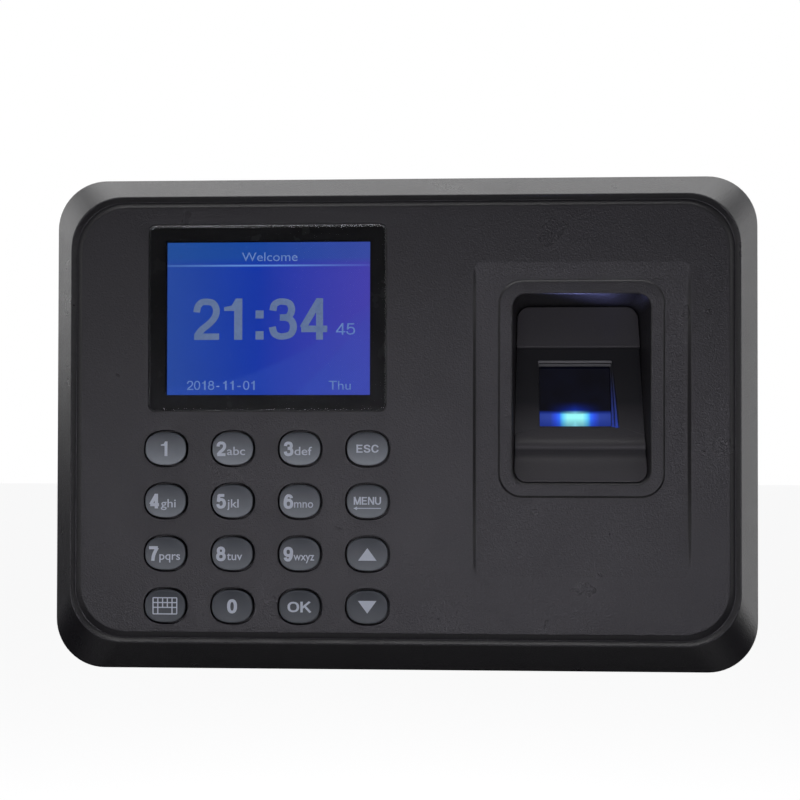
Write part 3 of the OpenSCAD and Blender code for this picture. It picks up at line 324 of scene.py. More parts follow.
LENS_BACK = -lens_high[1]
SCREEN_X, SCREEN_Z = (lens_low[0] + lens_high[0]) / 2, (lens_low[2] + lens_high[2]) / 2
PICTURE_W, PICTURE_H = 48.96, 36.72
LCD_FRONT = -lcd_low[1]

KEY_A, KEY_B, KEY_GAP = 4.85, 3.9, 0.4
KEY_TOP = 33.3
KEY_CROWN = 0.12
KEY_HOLE_EDGE = 0.22
LENS_R, POCKET_GAP, POCKET_EDGE = 1.5, 0.15, 0.15

WINDOW_X = (prism_low[0] + prism_high[0]) / 2
WELL_X = (insert_low[0] + insert_high[0]) / 2
WELL_LOW, WELL_HIGH = -15.2, 29.7
WELL_HALF, WELL_R, WELL_DRAFT = 16.325, 3.2, 0.139
COLLAR_T, COLLAR_BACK = 1.9, 19.35
PAD_BORDER, PAD_R, PAD_STEP = 3.1, 5.5, 0.5
SCOOP_HALF_W, SCOOP_HALF_H, SCOOP_DEPTH = 25.25, 37.25, 1.3
SCOOP_RADIUS = (SCOOP_HALF_H ** 2 + SCOOP_DEPTH ** 2) / (2 * SCOOP_DEPTH)
BACKING, BACKING_HALF_W = 1.6, 27.45
BOSS_INSET = 5.5
BOARD_BOSS_X, BOARD_BOSS_Z, BOARD_FRONT = (-67.0, 8.1), (-46.9, 46.0), 25
EAR_X, EAR_Z, EAR_FRONT = (-21.325, 21.325), (-2.75, 19.25), 17.2
# Radius, bore and the bore's depth of each kind of boss
CASE_BOSS, BOARD_BOSS, EAR_BOSS = (3.0, 1.5, 11), (2.5, 1.25, 3), (2.5, 1.25, 4)


# ---------------------------------------------------------------- Front cover
def case_outline(node):
    """Outline and level of the case for one node of its profile."""
    side, bottom, r, level = node
    return round_rect(-RIM_X - side, RIM_X + side, RIM_BOTTOM - bottom, RIM_TOP + side, r), level


def scoop_level(height):
    """Level of the wide cylinder that scoops the face."""
    if abs(height) >= SCOOP_HALF_H:
        return FACE
    return FACE - SCOOP_DEPTH + SCOOP_RADIUS - math.sqrt(SCOOP_RADIUS ** 2 - height ** 2)


def pad_level(height):
    """Level of the raised pad, which runs out softly into the face at its top."""
    gap = FACE - scoop_level(height) - PAD_STEP
    return FACE - (gap + math.sqrt(gap * gap + 0.004)) / 2


def rounding(edge, angles):
    """Steps of a quarter round, as how much is left one way and how much is gone the other way."""
    turns = [math.radians(a) for a in angles]
    return [(edge * (1 - math.sin(a)), edge * (1 - math.cos(a))) for a in turns]


def ease(t):
    return t * t * (3 - 2 * t)


def long_rect(x0, x1, y0, y1, r, across=10, along=28):
    """Round rectangle whose straight sides are divided too, so that it can follow a curved face."""
    points = []
    arcs = round_rect(x0, x1, y0, y1, r, 10)
    quarter = len(arcs) // 4
    for k, parts in enumerate((across, along, across, along)):
        arc = arcs[k * quarter:(k + 1) * quarter]
        after = arcs[(k + 1) * quarter % len(arcs)]
        last = arc[-1]
        points += arc
        points += [(last[0] + (after[0] - last[0]) * i / parts, last[1] + (after[1] - last[1]) * i / parts)
                   for i in range(1, parts)]
    return points


def mix_outlines(a, b, t):
    return [(p[0] + (q[0] - p[0]) * t, p[1] + (q[1] - p[1]) * t) for p, q in zip(a, b)]


def well_outline(depth, grow):
    half = WELL_HALF - WELL_DRAFT * depth + grow
    return long_rect(WELL_X - half, WELL_X + half, WELL_LOW + WELL_DRAFT * depth - grow,
                     WELL_HIGH - WELL_DRAFT * depth + grow, max(WELL_R + grow, 0.5))


def pad_outline(grow):
    half = WELL_HALF + PAD_BORDER + grow
    return long_rect(WELL_X - half, WELL_X + half, WELL_LOW - PAD_BORDER - grow,
                     WELL_HIGH + PAD_BORDER + grow, PAD_R + grow)


def scoop_outline(grow):
    return long_rect(WELL_X - SCOOP_HALF_W - grow, WELL_X + SCOOP_HALF_W + grow,
                     -SCOOP_HALF_H - grow, SCOOP_HALF_H + grow, 2.2 + grow)


def build_well(shell):
    """The scoop, the pad and the well down to the collar's back; returns its two open loops."""
    def on(outline, level_at):
        return shell.points([place(x, y, level_at(y)) for x, y in outline])

    loops = []
    wall_half = 0.45
    for i in range(9):
        t = i / 8
        grow = wall_half * (1 - 2 * t)
        loops.append(on(scoop_outline(grow),
                        lambda h, t=t: FACE + (scoop_level(h) - FACE) * ease(t)))
    inner, outer = pad_outline(0.3), scoop_outline(-wall_half)
    for i in range(1, 8):
        loops.append(on(mix_outlines(outer, inner, i / 8), scoop_level))
    for i in range(9):
        t = i / 8
        loops.append(on(pad_outline(0.3 - 0.6 * t),
                        lambda h, t=t: scoop_level(h) + (pad_level(h) - scoop_level(h)) * ease(t)))
    fillet = 0.38
    mouth = well_outline(RIM - FACE, fillet)
    inner_pad = pad_outline(-0.3)
    for i in range(1, 5):
        loops.append(on(mix_outlines(inner_pad, mouth, i / 4), pad_level))
    for grow, drop in rounding(fillet, range(14, 85, 14)):
        loops.append(on(well_outline(RIM - FACE + drop, grow), lambda h, drop=drop: pad_level(h) - drop))
    for level in (31.0, 29.0, 26.0, 22.5, COLLAR_BACK):
        loops.append(on(well_outline(RIM - level, 0), lambda h, level=level: level))
    collar_edge = on(well_outline(RIM - COLLAR_BACK, COLLAR_T), lambda h: COLLAR_BACK)
    collar_root = on(well_outline(RIM - FACE_BACK + BACKING, COLLAR_T), lambda h: FACE_BACK - BACKING)
    loops += [collar_edge, collar_root]
    shell.walls(loops)
    return loops[0], collar_root


def add_boss(shell, x, z, root, end, r, bore, depth):
    """Hollow post that hangs from the back of the face; returns the loop where it meets it."""
    outer = [circle(x, z, r, 24), circle(x, z, bore, 24)]
    loops = [shell.loop(outer[0], root), shell.loop(outer[0], end + 0.3),
             shell.loop(circle(x, z, r - 0.3, 24), end), shell.loop(outer[1], end),
             shell.loop(outer[1], end + depth)]
    shell.walls(loops)
    shell.face(loops[-1])
    return loops[0]


def lens_outline(grow, r):
    return round_rect(lens_low[0] - grow, lens_high[0] + grow,
                      lens_low[2] - grow, lens_high[2] + grow, r + grow)


def picture_outline(grow, r):
    half_w, half_h = PICTURE_W / 2 + grow, PICTURE_H / 2 + grow
    return round_rect(SCREEN_X - half_w, SCREEN_X + half_w, SCREEN_Z - half_h, SCREEN_Z + half_h, r)


def build_front_cover():
    shell = Shell()
    profile = soften(
        [(BEVEL_SIDE - 0.3, BEVEL_BOTTOM - 0.3, CASE_R - 0.3, SPLIT),
         (BEVEL_SIDE, BEVEL_BOTTOM, CASE_R, SPLIT + 0.3),
         (BEVEL_SIDE, BEVEL_BOTTOM, CASE_R, WIDE),
         (0, 0, RIM_R, RIM),
         (-GROOVE_WALL, -GROOVE_WALL, (RIM_R + FACE_R) / 2, RIM - GROOVE_DEPTH),
         (-GROOVE_WALL - GROOVE_SLOPE, -GROOVE_WALL - GROOVE_SLOPE, FACE_R, FACE),
         (-GROOVE_WALL - GROOVE_SLOPE - 0.8, -GROOVE_WALL - GROOVE_SLOPE - 0.8, FACE_R - 0.6, FACE)],
        (0.1, 0.9, 0.45, 0.3, 0.35))
    outside = [shell.loop(*case_outline(node)) for node in profile]
    panel = 2 * (CORNER_STEPS + 1) - 1
    side_low = next(i for i, node in enumerate(profile) if node[3] > SPLIT + 0.35) - 1
    for i, (a, b) in enumerate(zip(outside, outside[1:])):
        shell.wall(a, b, skip=(panel,) if i == side_low else ())

    back_share = (RIM - FACE_BACK) / BEVEL_FALL
    hollow = [(BEVEL_SIDE - WALL, BEVEL_BOTTOM - WALL, CASE_R - WALL, SPLIT),
              (BEVEL_SIDE - WALL, BEVEL_BOTTOM - WALL, CASE_R - WALL, WIDE),
              (BEVEL_SIDE * back_share - WALL, BEVEL_BOTTOM * back_share - WALL, RIM_R - WALL, FACE_BACK)]
    inside = [shell.loop(*case_outline(node)) for node in hollow]
    shell.wall(inside[0], inside[1], skip=(panel,))
    shell.wall(inside[1], inside[2])
    shell.wall(outside[0], inside[0])
    add_socket_holes(shell, outside[side_low], outside[side_low + 1], inside[0], inside[1], panel)

    front_holes, back_holes = [], []
    for key in KEYS:
        x, z = middle(key)
        loops = [shell.loop(superellipse(x, z, KEY_A + KEY_GAP + grow, KEY_B + KEY_GAP + grow), FACE - drop)
                 for grow, drop in rounding(KEY_HOLE_EDGE, (0, 22, 45, 68, 90))]
        loops.append(shell.loop(superellipse(x, z, KEY_A + KEY_GAP, KEY_B + KEY_GAP), FACE_BACK))
        shell.walls(loops)
        front_holes.append(loops[0])
        back_holes.append(loops[-1])

    loops = [shell.loop(lens_outline(POCKET_GAP + grow, LENS_R), FACE - drop)
             for grow, drop in rounding(POCKET_EDGE, (0, 30, 60, 90))]
    pocket_floor = LENS_BACK - 0.2
    loops.append(shell.loop(lens_outline(POCKET_GAP, LENS_R), pocket_floor))
    opening = picture_outline(1.2, 1.5)
    loops += [shell.loop(opening, pocket_floor), shell.loop(opening, FACE_BACK)]
    shell.walls(loops)
    front_holes.append(loops[0])
    back_holes.append(loops[-1])

    scoop_edge, collar_root = build_well(shell)
    front_holes.append(scoop_edge)
    shell.fill(outside[-1], front_holes)

    for x in (-1, 1):
        for z in (RIM_BOTTOM + BOSS_INSET, RIM_TOP - BOSS_INSET):
            back_holes.append(add_boss(shell, x * (RIM_X - BOSS_INSET), z, FACE_BACK, SPLIT, *CASE_BOSS))
    for x in BOARD_BOSS_X:
        for z in BOARD_BOSS_Z:
            back_holes.append(add_boss(shell, x, z, FACE_BACK, BOARD_FRONT, *BOARD_BOSS))
    backing = round_rect(WELL_X - BACKING_HALF_W, WELL_X + BACKING_HALF_W,
                         -SCOOP_HALF_H, SCOOP_HALF_H, WELL_R)
    step = [shell.loop(backing, FACE_BACK), shell.loop(backing, FACE_BACK - BACKING)]
    shell.walls(step)
    back_holes.append(step[0])
    shell.fill(inside[2], back_holes, (0, 1, 0))
    ear_holes = [add_boss(shell, WELL_X + x, z, FACE_BACK - BACKING, EAR_FRONT, *EAR_BOSS)
                 for x in EAR_X for z in EAR_Z]
    shell.fill(step[1], [collar_root] + ear_holes, (0, 1, 0))
    cover = shell.finish("front_cover_skin", materials["cover"])
    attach(cover, BODY)
    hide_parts("front_cover")


def add_socket_holes(shell, out_low, out_high, in_low, in_high, panel):
    """Fills the left wall's two panels around the USB and power openings, and joins them."""
    usb_low, usb_high = mm_box("usb_shell")
    jack_low, jack_high = mm_box("jack_body")
    x_out, x_in = -RIM_X - BEVEL_SIDE, -RIM_X - BEVEL_SIDE + WALL
    gap = 0.15
    usb = round_rect(usb_low[2] - gap, usb_high[2] + gap, -usb_high[1] - gap, -usb_low[1] + gap, 0.5, 4)
    jack_axis = -jack_high[1] + 4.5
    jack = circle((jack_low[2] + jack_high[2]) / 2, jack_axis, 3.25, 40)
    outer, inner = [], []
    for hole in (usb, jack):
        rim, root = [shell.points([place(x, height, level) for height, level in hole]) for x in (x_out, x_in)]
        shell.wall(rim, root)
        outer.append(rim)
        inner.append(root)
    after = (panel + 1) % len(out_low)
    shell.fill([out_low[panel], out_low[after], out_high[after], out_high[panel]], outer, (-1, 0, 0))
    shell.fill([in_low[panel], in_low[after], in_high[after], in_high[panel]], inner, (1, 0, 0))


# ---------------------------------------------------------------- Materials
class Nodes:
    """Short hand for a material's node tree."""

    def __init__(self, name):
        self.material = bpy.data.materials.new(name)
        self.material.use_nodes = True
        self.tree = self.material.node_tree
        self.shader = self.tree.nodes["Principled BSDF"]

    @classmethod
    def of(cls, material):
        n = cls.__new__(cls)
        n.material, n.tree = material, material.node_tree
        n.shader = n.tree.nodes["Principled BSDF"]
        return n

    def add(self, kind, inputs=None, **settings):
        node = self.tree.nodes.new(kind)
        for name, value in settings.items():
            setattr(node, name, value)
        for socket, value in (inputs or {}).items():
            if isinstance(value, bpy.types.NodeSocket):
                self.tree.links.new(value, node.inputs[socket])
            else:
                node.inputs[socket].default_value = value
        return node

    def place(self):
        return self.add("ShaderNodeTexCoord").outputs["Object"]

    def noise(self, size, detail=2.0, where=None, rough=0.5):
        """Noise whose lumps are about the given size in metres."""
        return self.add("ShaderNodeTexNoise", {"Vector": where or self.place(), "Scale": 1 / size,
                                               "Detail": detail, "Roughness": rough}).outputs["Fac"]

    def spread(self, value, low, high, start=0.3, end=0.7):
        return self.add("ShaderNodeMapRange", {"Value": value, "From Min": start, "From Max": end,
                                               "To Min": low, "To Max": high}).outputs[0]

    def math(self, operation, a, b=0.0, clamp=False):
        return self.add("ShaderNodeMath", {0: a, 1: b}, operation=operation, use_clamp=clamp).outputs[0]

    def mix(self, share, a, b, kind="MIX"):
        node = self.add("ShaderNodeMix", data_type="RGBA", blend_type=kind)
        for index, value in ((0, share), (6, a), (7, b)):
            if isinstance(value, bpy.types.NodeSocket):
                self.tree.links.new(value, node.inputs[index])
            elif index:
                node.inputs[index].default_value = (*value[:3], 1)
            else:
                node.inputs[index].default_value = value
        return node.outputs[2]

    def link(self, value, socket):
        self.tree.links.new(value, self.shader.inputs[socket])

    def bump(self, height, depth, strength=1.0, before=None):
        inputs = {"Height": height, "Distance": depth, "Strength": strength}
        if before is not None:
            inputs["Normal"] = before
        return self.add("ShaderNodeBump", inputs).outputs[0]


def shade(colour, factor):
    return tuple(min(c * factor, 1) for c in colour[:3])


def finish_of(name, colour, rough, metal=0.0, grain=0.0004, bump=0.00002, vary=0.12, patch=0.008,
              rough_vary=0.06, **sockets):
    """Surface with fine grain, a slow change of colour and a slightly uneven gloss."""
    n = Nodes(name)
    patches = n.noise(patch, 3.0)
    fine = n.noise(grain, 3.0)
    toned = n.mix(n.spread(patches, 0, 1), shade(colour, 1 - vary), shade(colour, 1 + vary))
    n.link(n.mix(n.spread(fine, 0, 0.35), toned, shade(colour, 1 + 2.5 * vary)), "Base Color")
    n.link(n.spread(n.noise(patch * 0.6, 2.0), rough - rough_vary, rough + rough_vary), "Roughness")
    n.link(n.bump(fine, bump), "Normal")
    n.shader.inputs["Metallic"].default_value = metal
    for socket, value in sockets.items():
        n.shader.inputs[socket.replace("_", " ")].default_value = value
    return n.material


def moulded_black(name, colour, rough, grain, depth, specks=0.5):
    """Black plastic with a spark-eroded texture: fine pits in two sizes and a few bright specks."""
    n = Nodes(name)
    coarse, fine = n.noise(grain, 3.0, rough=0.65), n.noise(grain * 0.4, 2.0)
    cells = n.add("ShaderNodeTexVoronoi", {"Vector": n.place(), "Scale": 0.8 / grain}).outputs["Distance"]
    height = n.math("ADD", n.math("MULTIPLY", coarse, 0.6), n.math("MULTIPLY", fine, 0.3))
    height = n.math("ADD", height, n.math("MULTIPLY", cells, 0.25))
    toned = n.mix(n.spread(n.noise(0.03, 2.0), 0, 1), shade(colour, 0.92), shade(colour, 1.08))
    bright = n.spread(n.noise(grain * 0.7, 1.0), 0, specks, 0.62, 0.75)
    n.link(n.mix(bright, toned, shade(colour, 2.2)), "Base Color")
    n.link(n.spread(n.noise(0.012, 3.0), rough - 0.03, rough + 0.03), "Roughness")
    n.link(n.bump(height, depth), "Normal")
    n.shader.inputs["Specular IOR Level"].default_value = 0.5
    return n.material


def insert_plastic():
    """The well's insert: fine grain, with painted shade that makes the top of the finger bed duller and
    darker, and a band around the hollow below the ridge too.
    """
    material = moulded_black("insert_black_grain", (0.052, 0.0495, 0.054), 0.42, 0.0003, 0.00004, 0.3)
    n = Nodes.of(material)
    height = n.add("ShaderNodeSeparateXYZ", {0: n.place()}).outputs["Z"]
    # Painted shade: darkens and dulls the finger bed, from the ridge upward and fully over its top below the
    # panel step.
    fade = n.spread(height, 0, 1, (RIDGE_Z - 0.3) * MM, 0.0045)
    bed = n.math("MULTIPLY", fade, n.math("LESS_THAN", height, (PANEL_Z - 0.3) * MM))
    # Painted shade in a band around the hollow, below the ridge.
    above = n.spread(height, 1, 0, (HOLLOW_Z + 0.9) * MM, (HOLLOW_Z + 2.0) * MM)
    fold_painted_shade = n.math("MULTIPLY", above, n.spread(height, 0, 0.75, (HOLLOW_Z - 1.3) * MM, (HOLLOW_Z + 0.1) * MM))
    bed = n.math("MAXIMUM", bed, fold_painted_shade)
    # Colour and roughness of the painted shade.
    for socket, deep in (("Base Color", (0.0015, 0.0015, 0.004, 1)), ("Roughness", (0.7, 0.7, 0.7, 1))):
        before = n.shader.inputs[socket].links[0].from_socket
        n.link(n.mix(bed, before, deep), socket)
    return material


def screen_picture():
    """The display: a lit blue picture with a header band, two soft waves and fine rows."""
    n = Nodes("display_lit")
    split = n.add("ShaderNodeSeparateXYZ", {0: n.place()})
    left, low = (SCREEN_X - PICTURE_W / 2) * MM, (SCREEN_Z - PICTURE_H / 2) * MM
    u = n.add("ShaderNodeMapRange", {"Value": split.outputs["X"], "From Min": left,
                                     "From Max": left + PICTURE_W * MM}).outputs[0]
    v = n.add("ShaderNodeMapRange", {"Value": split.outputs["Z"], "From Min": low,
                                     "From Max": low + PICTURE_H * MM}).outputs[0]
    ramp = n.add("ShaderNodeValToRGB", {"Fac": u})
    stops = ramp.color_ramp.elements
    stops[0].color, stops[1].color = (0.02, 0.067, 0.335, 1), (0.058, 0.046, 0.39, 1)
    stops.new(0.45).color = (0.004, 0.034, 0.37, 1)
    colour = ramp.outputs["Color"]

    header = n.spread(v, 0, 1, 0.855, 0.9)
    colour = n.mix(n.math("MULTIPLY", header, 0.5), colour, (0.01, 0.085, 0.29))
    line = n.math("SUBTRACT", 1.0, n.math("MULTIPLY", n.math("ABSOLUTE", n.math("SUBTRACT", v, 0.848)), 110))
    fade = n.spread(n.math("ABSOLUTE", n.math("SUBTRACT", u, 0.45)), 1, 0.15, 0.1, 0.55)
    line = n.math("MULTIPLY", n.math("MAXIMUM", line, 0.0), fade)
    colour = n.mix(n.math("MULTIPLY", line, 0.75), colour, (0.2, 0.42, 0.85))

    for rise, bend, reach in ((0.05, 0.55, 0.3), (-0.35, 0.9, 0.25)):
        curve = n.math("ADD", n.math("MULTIPLY", n.math("MULTIPLY", u, u), bend), rise)
        side = n.spread(n.math("SUBTRACT", curve, v), 0, reach, -0.01, 0.02)
        below = n.math("MULTIPLY", side, n.spread(v, 1, 0, 0.1, 0.8))
        colour = n.mix(below, colour, (0.03, 0.085, 0.45))
    rows = n.add("ShaderNodeTexWave", {"Vector": n.place(), "Scale": 1100.0, "Distortion": 0.6},
                 bands_direction="DIAGONAL").outputs["Fac"]
    amount = n.math("MULTIPLY", n.spread(u, 0, 0.14, 0.35, 0.9), rows)
    colour = n.mix(amount, colour, (0.12, 0.125, 0.56))
    wide = n.math("LESS_THAN", n.math("ABSOLUTE", n.math("SUBTRACT", u, 0.5)), 0.5)
    tall = n.math("LESS_THAN", n.math("ABSOLUTE", n.math("SUBTRACT", v, 0.5)), 0.5)
    lit = n.math("MULTIPLY", wide, tall)
    n.link(colour, "Emission Color")
    n.link(lit, "Emission Strength")
    n.link(n.mix(lit, (0.01, 0.01, 0.012), (0.004, 0.006, 0.03)), "Base Color")
    n.link(n.bump(n.noise(0.0003, 1.0), 0.000002), "Normal")
    n.shader.inputs["Roughness"].default_value = 0.12
    return n.material


def glowing(name, colour, strength):
    n = Nodes(name)
    uneven = n.spread(n.noise(0.0006, 2.0), 0, 1)
    n.link(n.mix(uneven, shade(colour, 0.9), shade(colour, 1.1)), "Emission Color")
    n.shader.inputs["Base Color"].default_value = (0.02, 0.02, 0.03, 1)
    n.shader.inputs["Emission Strength"].default_value = strength
    return n.material


def window_glass():
    """The sensor's glass: nearly black, with the blue light standing at the bottom of the window."""
    n = Nodes("sensor_glass")
    split = n.add("ShaderNodeSeparateXYZ", {0: n.place()})
    across = n.math("MULTIPLY", n.math("SUBTRACT", split.outputs["X"], WINDOW_X * MM), 1000.0)
    height = n.math("MULTIPLY", split.outputs["Z"], 1000.0)
    spread = n.math("ABSOLUTE", across)
    ramp = n.add("ShaderNodeValToRGB", {"Fac": n.math("DIVIDE", spread, 9.0)})
    stops = ramp.color_ramp.elements
    stops[0].color, stops[1].color = (0.33, 0.97, 0.96, 1), (0.022, 0.044, 0.26, 1)
    for at, colour in ((0.2, (0.33, 0.97, 0.96)), (0.32, (0.13, 0.66, 1)), (0.42, (0.032, 0.16, 0.99)),
                       (0.52, (0.028, 0.08, 0.75)), (0.66, (0.024, 0.052, 0.32))):
        stops.new(at).color = (*colour, 1)
    bar = n.math("MULTIPLY", n.spread(height, 1, 0, 1.5, 2.5), n.spread(height, 0.55, 1, -1.8, 0.6))
    halo = n.math("MULTIPLY", n.spread(height, 1, 0, 2.2, 5.0), n.spread(spread, 1, 0, 0.0, 7.5))
    halo = n.math("MULTIPLY", n.math("MULTIPLY", halo, halo), 0.9)
    n.link(n.mix(bar, (0.003, 0.03, 0.4), ramp.outputs["Color"]), "Emission Color")
    n.link(n.math("MAXIMUM", bar, halo), "Emission Strength")
    uneven = n.spread(n.noise(0.004, 2.0), 0, 1)
    n.link(n.mix(uneven, (0.003, 0.003, 0.012), (0.005, 0.006, 0.022)), "Base Color")
    n.link(n.bump(n.noise(0.0008, 2.0), 0.000002), "Normal")
    n.shader.inputs["Roughness"].default_value = 0.12
    n.shader.inputs["IOR"].default_value = 1.5
    return n.material


def lit_ledge():
    """Black plastic with painted blue light, as emission, where the sensor's light washes it, most at the
    bottom.
    """
    n = Nodes("ledge_black_lit")
    height = n.add("ShaderNodeSeparateXYZ", {0: n.place()}).outputs["Z"]
    strength = n.spread(height, 1, 0, WINDOW_LOW * MM, WINDOW_HIGH * MM)
    strength = n.math("MULTIPLY", n.math("MULTIPLY", strength, strength), 0.6)
    uneven = n.spread(n.noise(0.0006, 2.0), 0.8, 1.2)
    n.link(n.math("MULTIPLY", strength, uneven), "Emission Strength")
    n.shader.inputs["Emission Color"].default_value = (0.012, 0.045, 0.42, 1)
    n.link(n.mix(uneven, (0.012, 0.012, 0.014), (0.016, 0.016, 0.02)), "Base Color")
    n.shader.inputs["Roughness"].default_value = 0.4
    return n.material


def clear_lens():
    n = Nodes("lens_clear")
    n.link(n.mix(n.spread(n.noise(0.01, 2.0), 0, 1), (0.93, 0.95, 0.97), (0.97, 0.98, 1.0)), "Base Color")
    n.link(n.spread(n.noise(0.006, 3.0), 0.0, 0.02), "Roughness")
    n.link(n.bump(n.noise(0.03, 1.0), 0.000004), "Normal")
    n.shader.inputs["IOR"].default_value = 1.49
    n.shader.inputs["Transmission Weight"].default_value = 1.0
    return n.material


def brushed(name, colour, rough, along=(1, 1, 12)):
    """Metal with fine lines along one direction."""
    n = Nodes(name)
    stretched = n.add("ShaderNodeMapping", {"Vector": n.place(), "Scale": along}).outputs[0]
    lines = n.noise(0.0012, 4.0, stretched, 0.7)
    n.link(n.mix(n.spread(lines, 0, 1), shade(colour, 0.85), shade(colour, 1.12)), "Base Color")
    n.link(n.spread(lines, rough - 0.08, rough + 0.1), "Roughness")
    n.link(n.bump(lines, 0.000008), "Normal")
    n.shader.inputs["Metallic"].default_value = 1.0
    return n.material


def key_plastic():
    """Smoke-grey translucent key, softly frosted, with painted light: lighter towards its bottom and paler in
    the upper rows, and painted shade on its sides in the gap.
    """
    n = Nodes("key_smoke")
    height = n.add("ShaderNodeSeparateXYZ", {0: n.place()}).outputs["Z"]
    # Painted light: each key is lighter towards its bottom.
    lower_painted_light = n.spread(height, 1, 0, -KEY_B * MM, KEY_B * MM)
    # Painted light: the keys in lower rows are darker, the upper rows paler.
    high, low = middle("key_1")[1] * MM, middle("key_0")[1] * MM
    at = n.add("ShaderNodeObjectInfo").outputs["Location"]
    row = n.spread(n.add("ShaderNodeSeparateXYZ", {0: at}).outputs["Z"], 0, 1, low, high)
    row_painted_light = n.mix(row, (0.095, 0.108, 0.118), (0.33, 0.36, 0.39))
    base = n.mix(lower_painted_light, (0.030, 0.037, 0.047), row_painted_light)
    base = n.mix(n.spread(n.noise(0.003, 2.0), 0, 0.12), base, (0.07, 0.08, 0.095))
    level = n.add("ShaderNodeSeparateXYZ", {0: n.place()}).outputs["Y"]
    # Painted shade: the key's sides turn nearly black from a quarter to half a millimetre below its top, down
    # in the gap.
    side = n.spread(level, 0, 1, (0.25 - KEY_TOP) * MM, (0.5 - KEY_TOP) * MM)
    n.link(n.mix(side, base, (0.002, 0.002, 0.003)), "Base Color")
    n.link(n.spread(n.noise(0.0015, 3.0), 0.36, 0.46), "Roughness")
    n.link(n.bump(n.noise(0.00025, 2.0), 0.000006), "Normal")
    n.shader.inputs["Specular IOR Level"].default_value = 0.3
    n.shader.inputs["Coat Weight"].default_value = 0.1
    n.shader.inputs["Coat Roughness"].default_value = 0.3
    return n.material


def make_materials():
    return {
        "cover": moulded_black("cover_black_grain", (0.0185, 0.0176, 0.0200), 0.30, 0.00038, 0.00012, 0.9),
        "rear": moulded_black("rear_black_grain", (0.028, 0.027, 0.026), 0.58, 0.0005, 0.00006),
        "insert": insert_plastic(),
        "picture": screen_picture(),
        "welcome": glowing("picture_words", (0.105, 0.195, 0.46), 1.0),
        "clock": glowing("picture_clock", (0.1, 0.155, 0.29), 1.0),
        "glass": window_glass(),
        # Painted highlight: pale grey for the steps above the sensor's window.
        "ledge_painted_highlight": finish_of("ledge_grey_painted_highlight", (0.085, 0.085, 0.09), 0.4, grain=0.0002, bump=0.000003),
        "ledge_lit": lit_ledge(),
        "lens": clear_lens(),
        "print": finish_of("lens_print_black", (0.009, 0.0088, 0.0092), 0.25, grain=0.0003, bump=0.000001,
                           rough_vary=0.03, Specular_IOR_Level=0.12),
        "key": key_plastic(),
        "legend": finish_of("legend_pale", (0.6, 0.65, 0.73), 0.5, grain=0.0002, bump=0.000004, vary=0.05),
        "board": finish_of("board_green_mask", (0.012, 0.13, 0.045), 0.35, grain=0.0006, bump=0.00001),
        "board_blue": finish_of("board_blue_mask", (0.01, 0.06, 0.16), 0.35, grain=0.0006, bump=0.00001),
        "chip": finish_of("chip_epoxy", (0.018, 0.018, 0.02), 0.55, grain=0.0003, bump=0.00001),
        "can": brushed("can_steel_brushed", (0.62, 0.62, 0.64), 0.32),
        "cell": brushed("cell_steel_brushed", (0.66, 0.66, 0.68), 0.28, (12, 1, 1)),
        "shell": brushed("socket_steel_brushed", (0.6, 0.6, 0.61), 0.3, (1, 12, 1)),
        "contact": brushed("contact_plated", (0.72, 0.7, 0.62), 0.25),
        "magnet": brushed("magnet_zinc_plate", (0.55, 0.56, 0.6), 0.4, (1, 1, 1)),
        "zinc": brushed("screw_zinc_plate", (0.6, 0.61, 0.63), 0.35, (1, 1, 1)),
        "dark_screw": brushed("screw_dark_oxide", (0.1, 0.1, 0.11), 0.4, (1, 1, 1)),
        "plate": brushed("plate_steel_rolled", (0.5, 0.51, 0.53), 0.38, (14, 1, 1)),
        "cream": finish_of("nylon_cream_matt", (0.62, 0.58, 0.47), 0.5, grain=0.0005),
        "white": finish_of("nylon_white_matt", (0.72, 0.72, 0.7), 0.45, grain=0.0005),
        "nylon": finish_of("nylon_black_matt", (0.02, 0.02, 0.021), 0.5, grain=0.0005),
        "tape": finish_of("tape_black_fibre", (0.012, 0.012, 0.012), 0.8, grain=0.0003),
        "foam": finish_of("foam_black_cells", (0.015, 0.015, 0.015), 0.95, grain=0.0005, bump=0.0001),
        "tray": finish_of("tray_white_gloss", (0.75, 0.76, 0.78), 0.3, grain=0.001, bump=0.000004),
        "flex": finish_of("flex_amber_film", (0.5, 0.2, 0.03), 0.3, grain=0.0008, bump=0.000005),
        "silicone": finish_of("silicone_grey_rubber", (0.27, 0.28, 0.28), 0.6, grain=0.0004),
        "speaker": finish_of("speaker_black_steel", (0.03, 0.03, 0.032), 0.45, grain=0.0004),
        "cone": finish_of("cone_paper_fibre", (0.05, 0.047, 0.043), 0.9, grain=0.0003, bump=0.00005),
        "wire": finish_of("wire_red_sleeve", (0.35, 0.02, 0.02), 0.4, grain=0.0008, bump=0.00001),
        "ribbon": finish_of("ribbon_grey_ribs", (0.45, 0.45, 0.43), 0.45, grain=0.0006),
        "led": glowing("led_blue_lens", (0.02, 0.12, 0.9), 2.0),
    }


# ---------------------------------------------------------------- Lettering
ONE = ((0.0, 0.70), (0.0, 0.79), (0.15, 0.83), (0.23, 1.0), (0.36, 1.0), (0.36, 0.0), (0.2, 0.0), (0.2, 0.70))


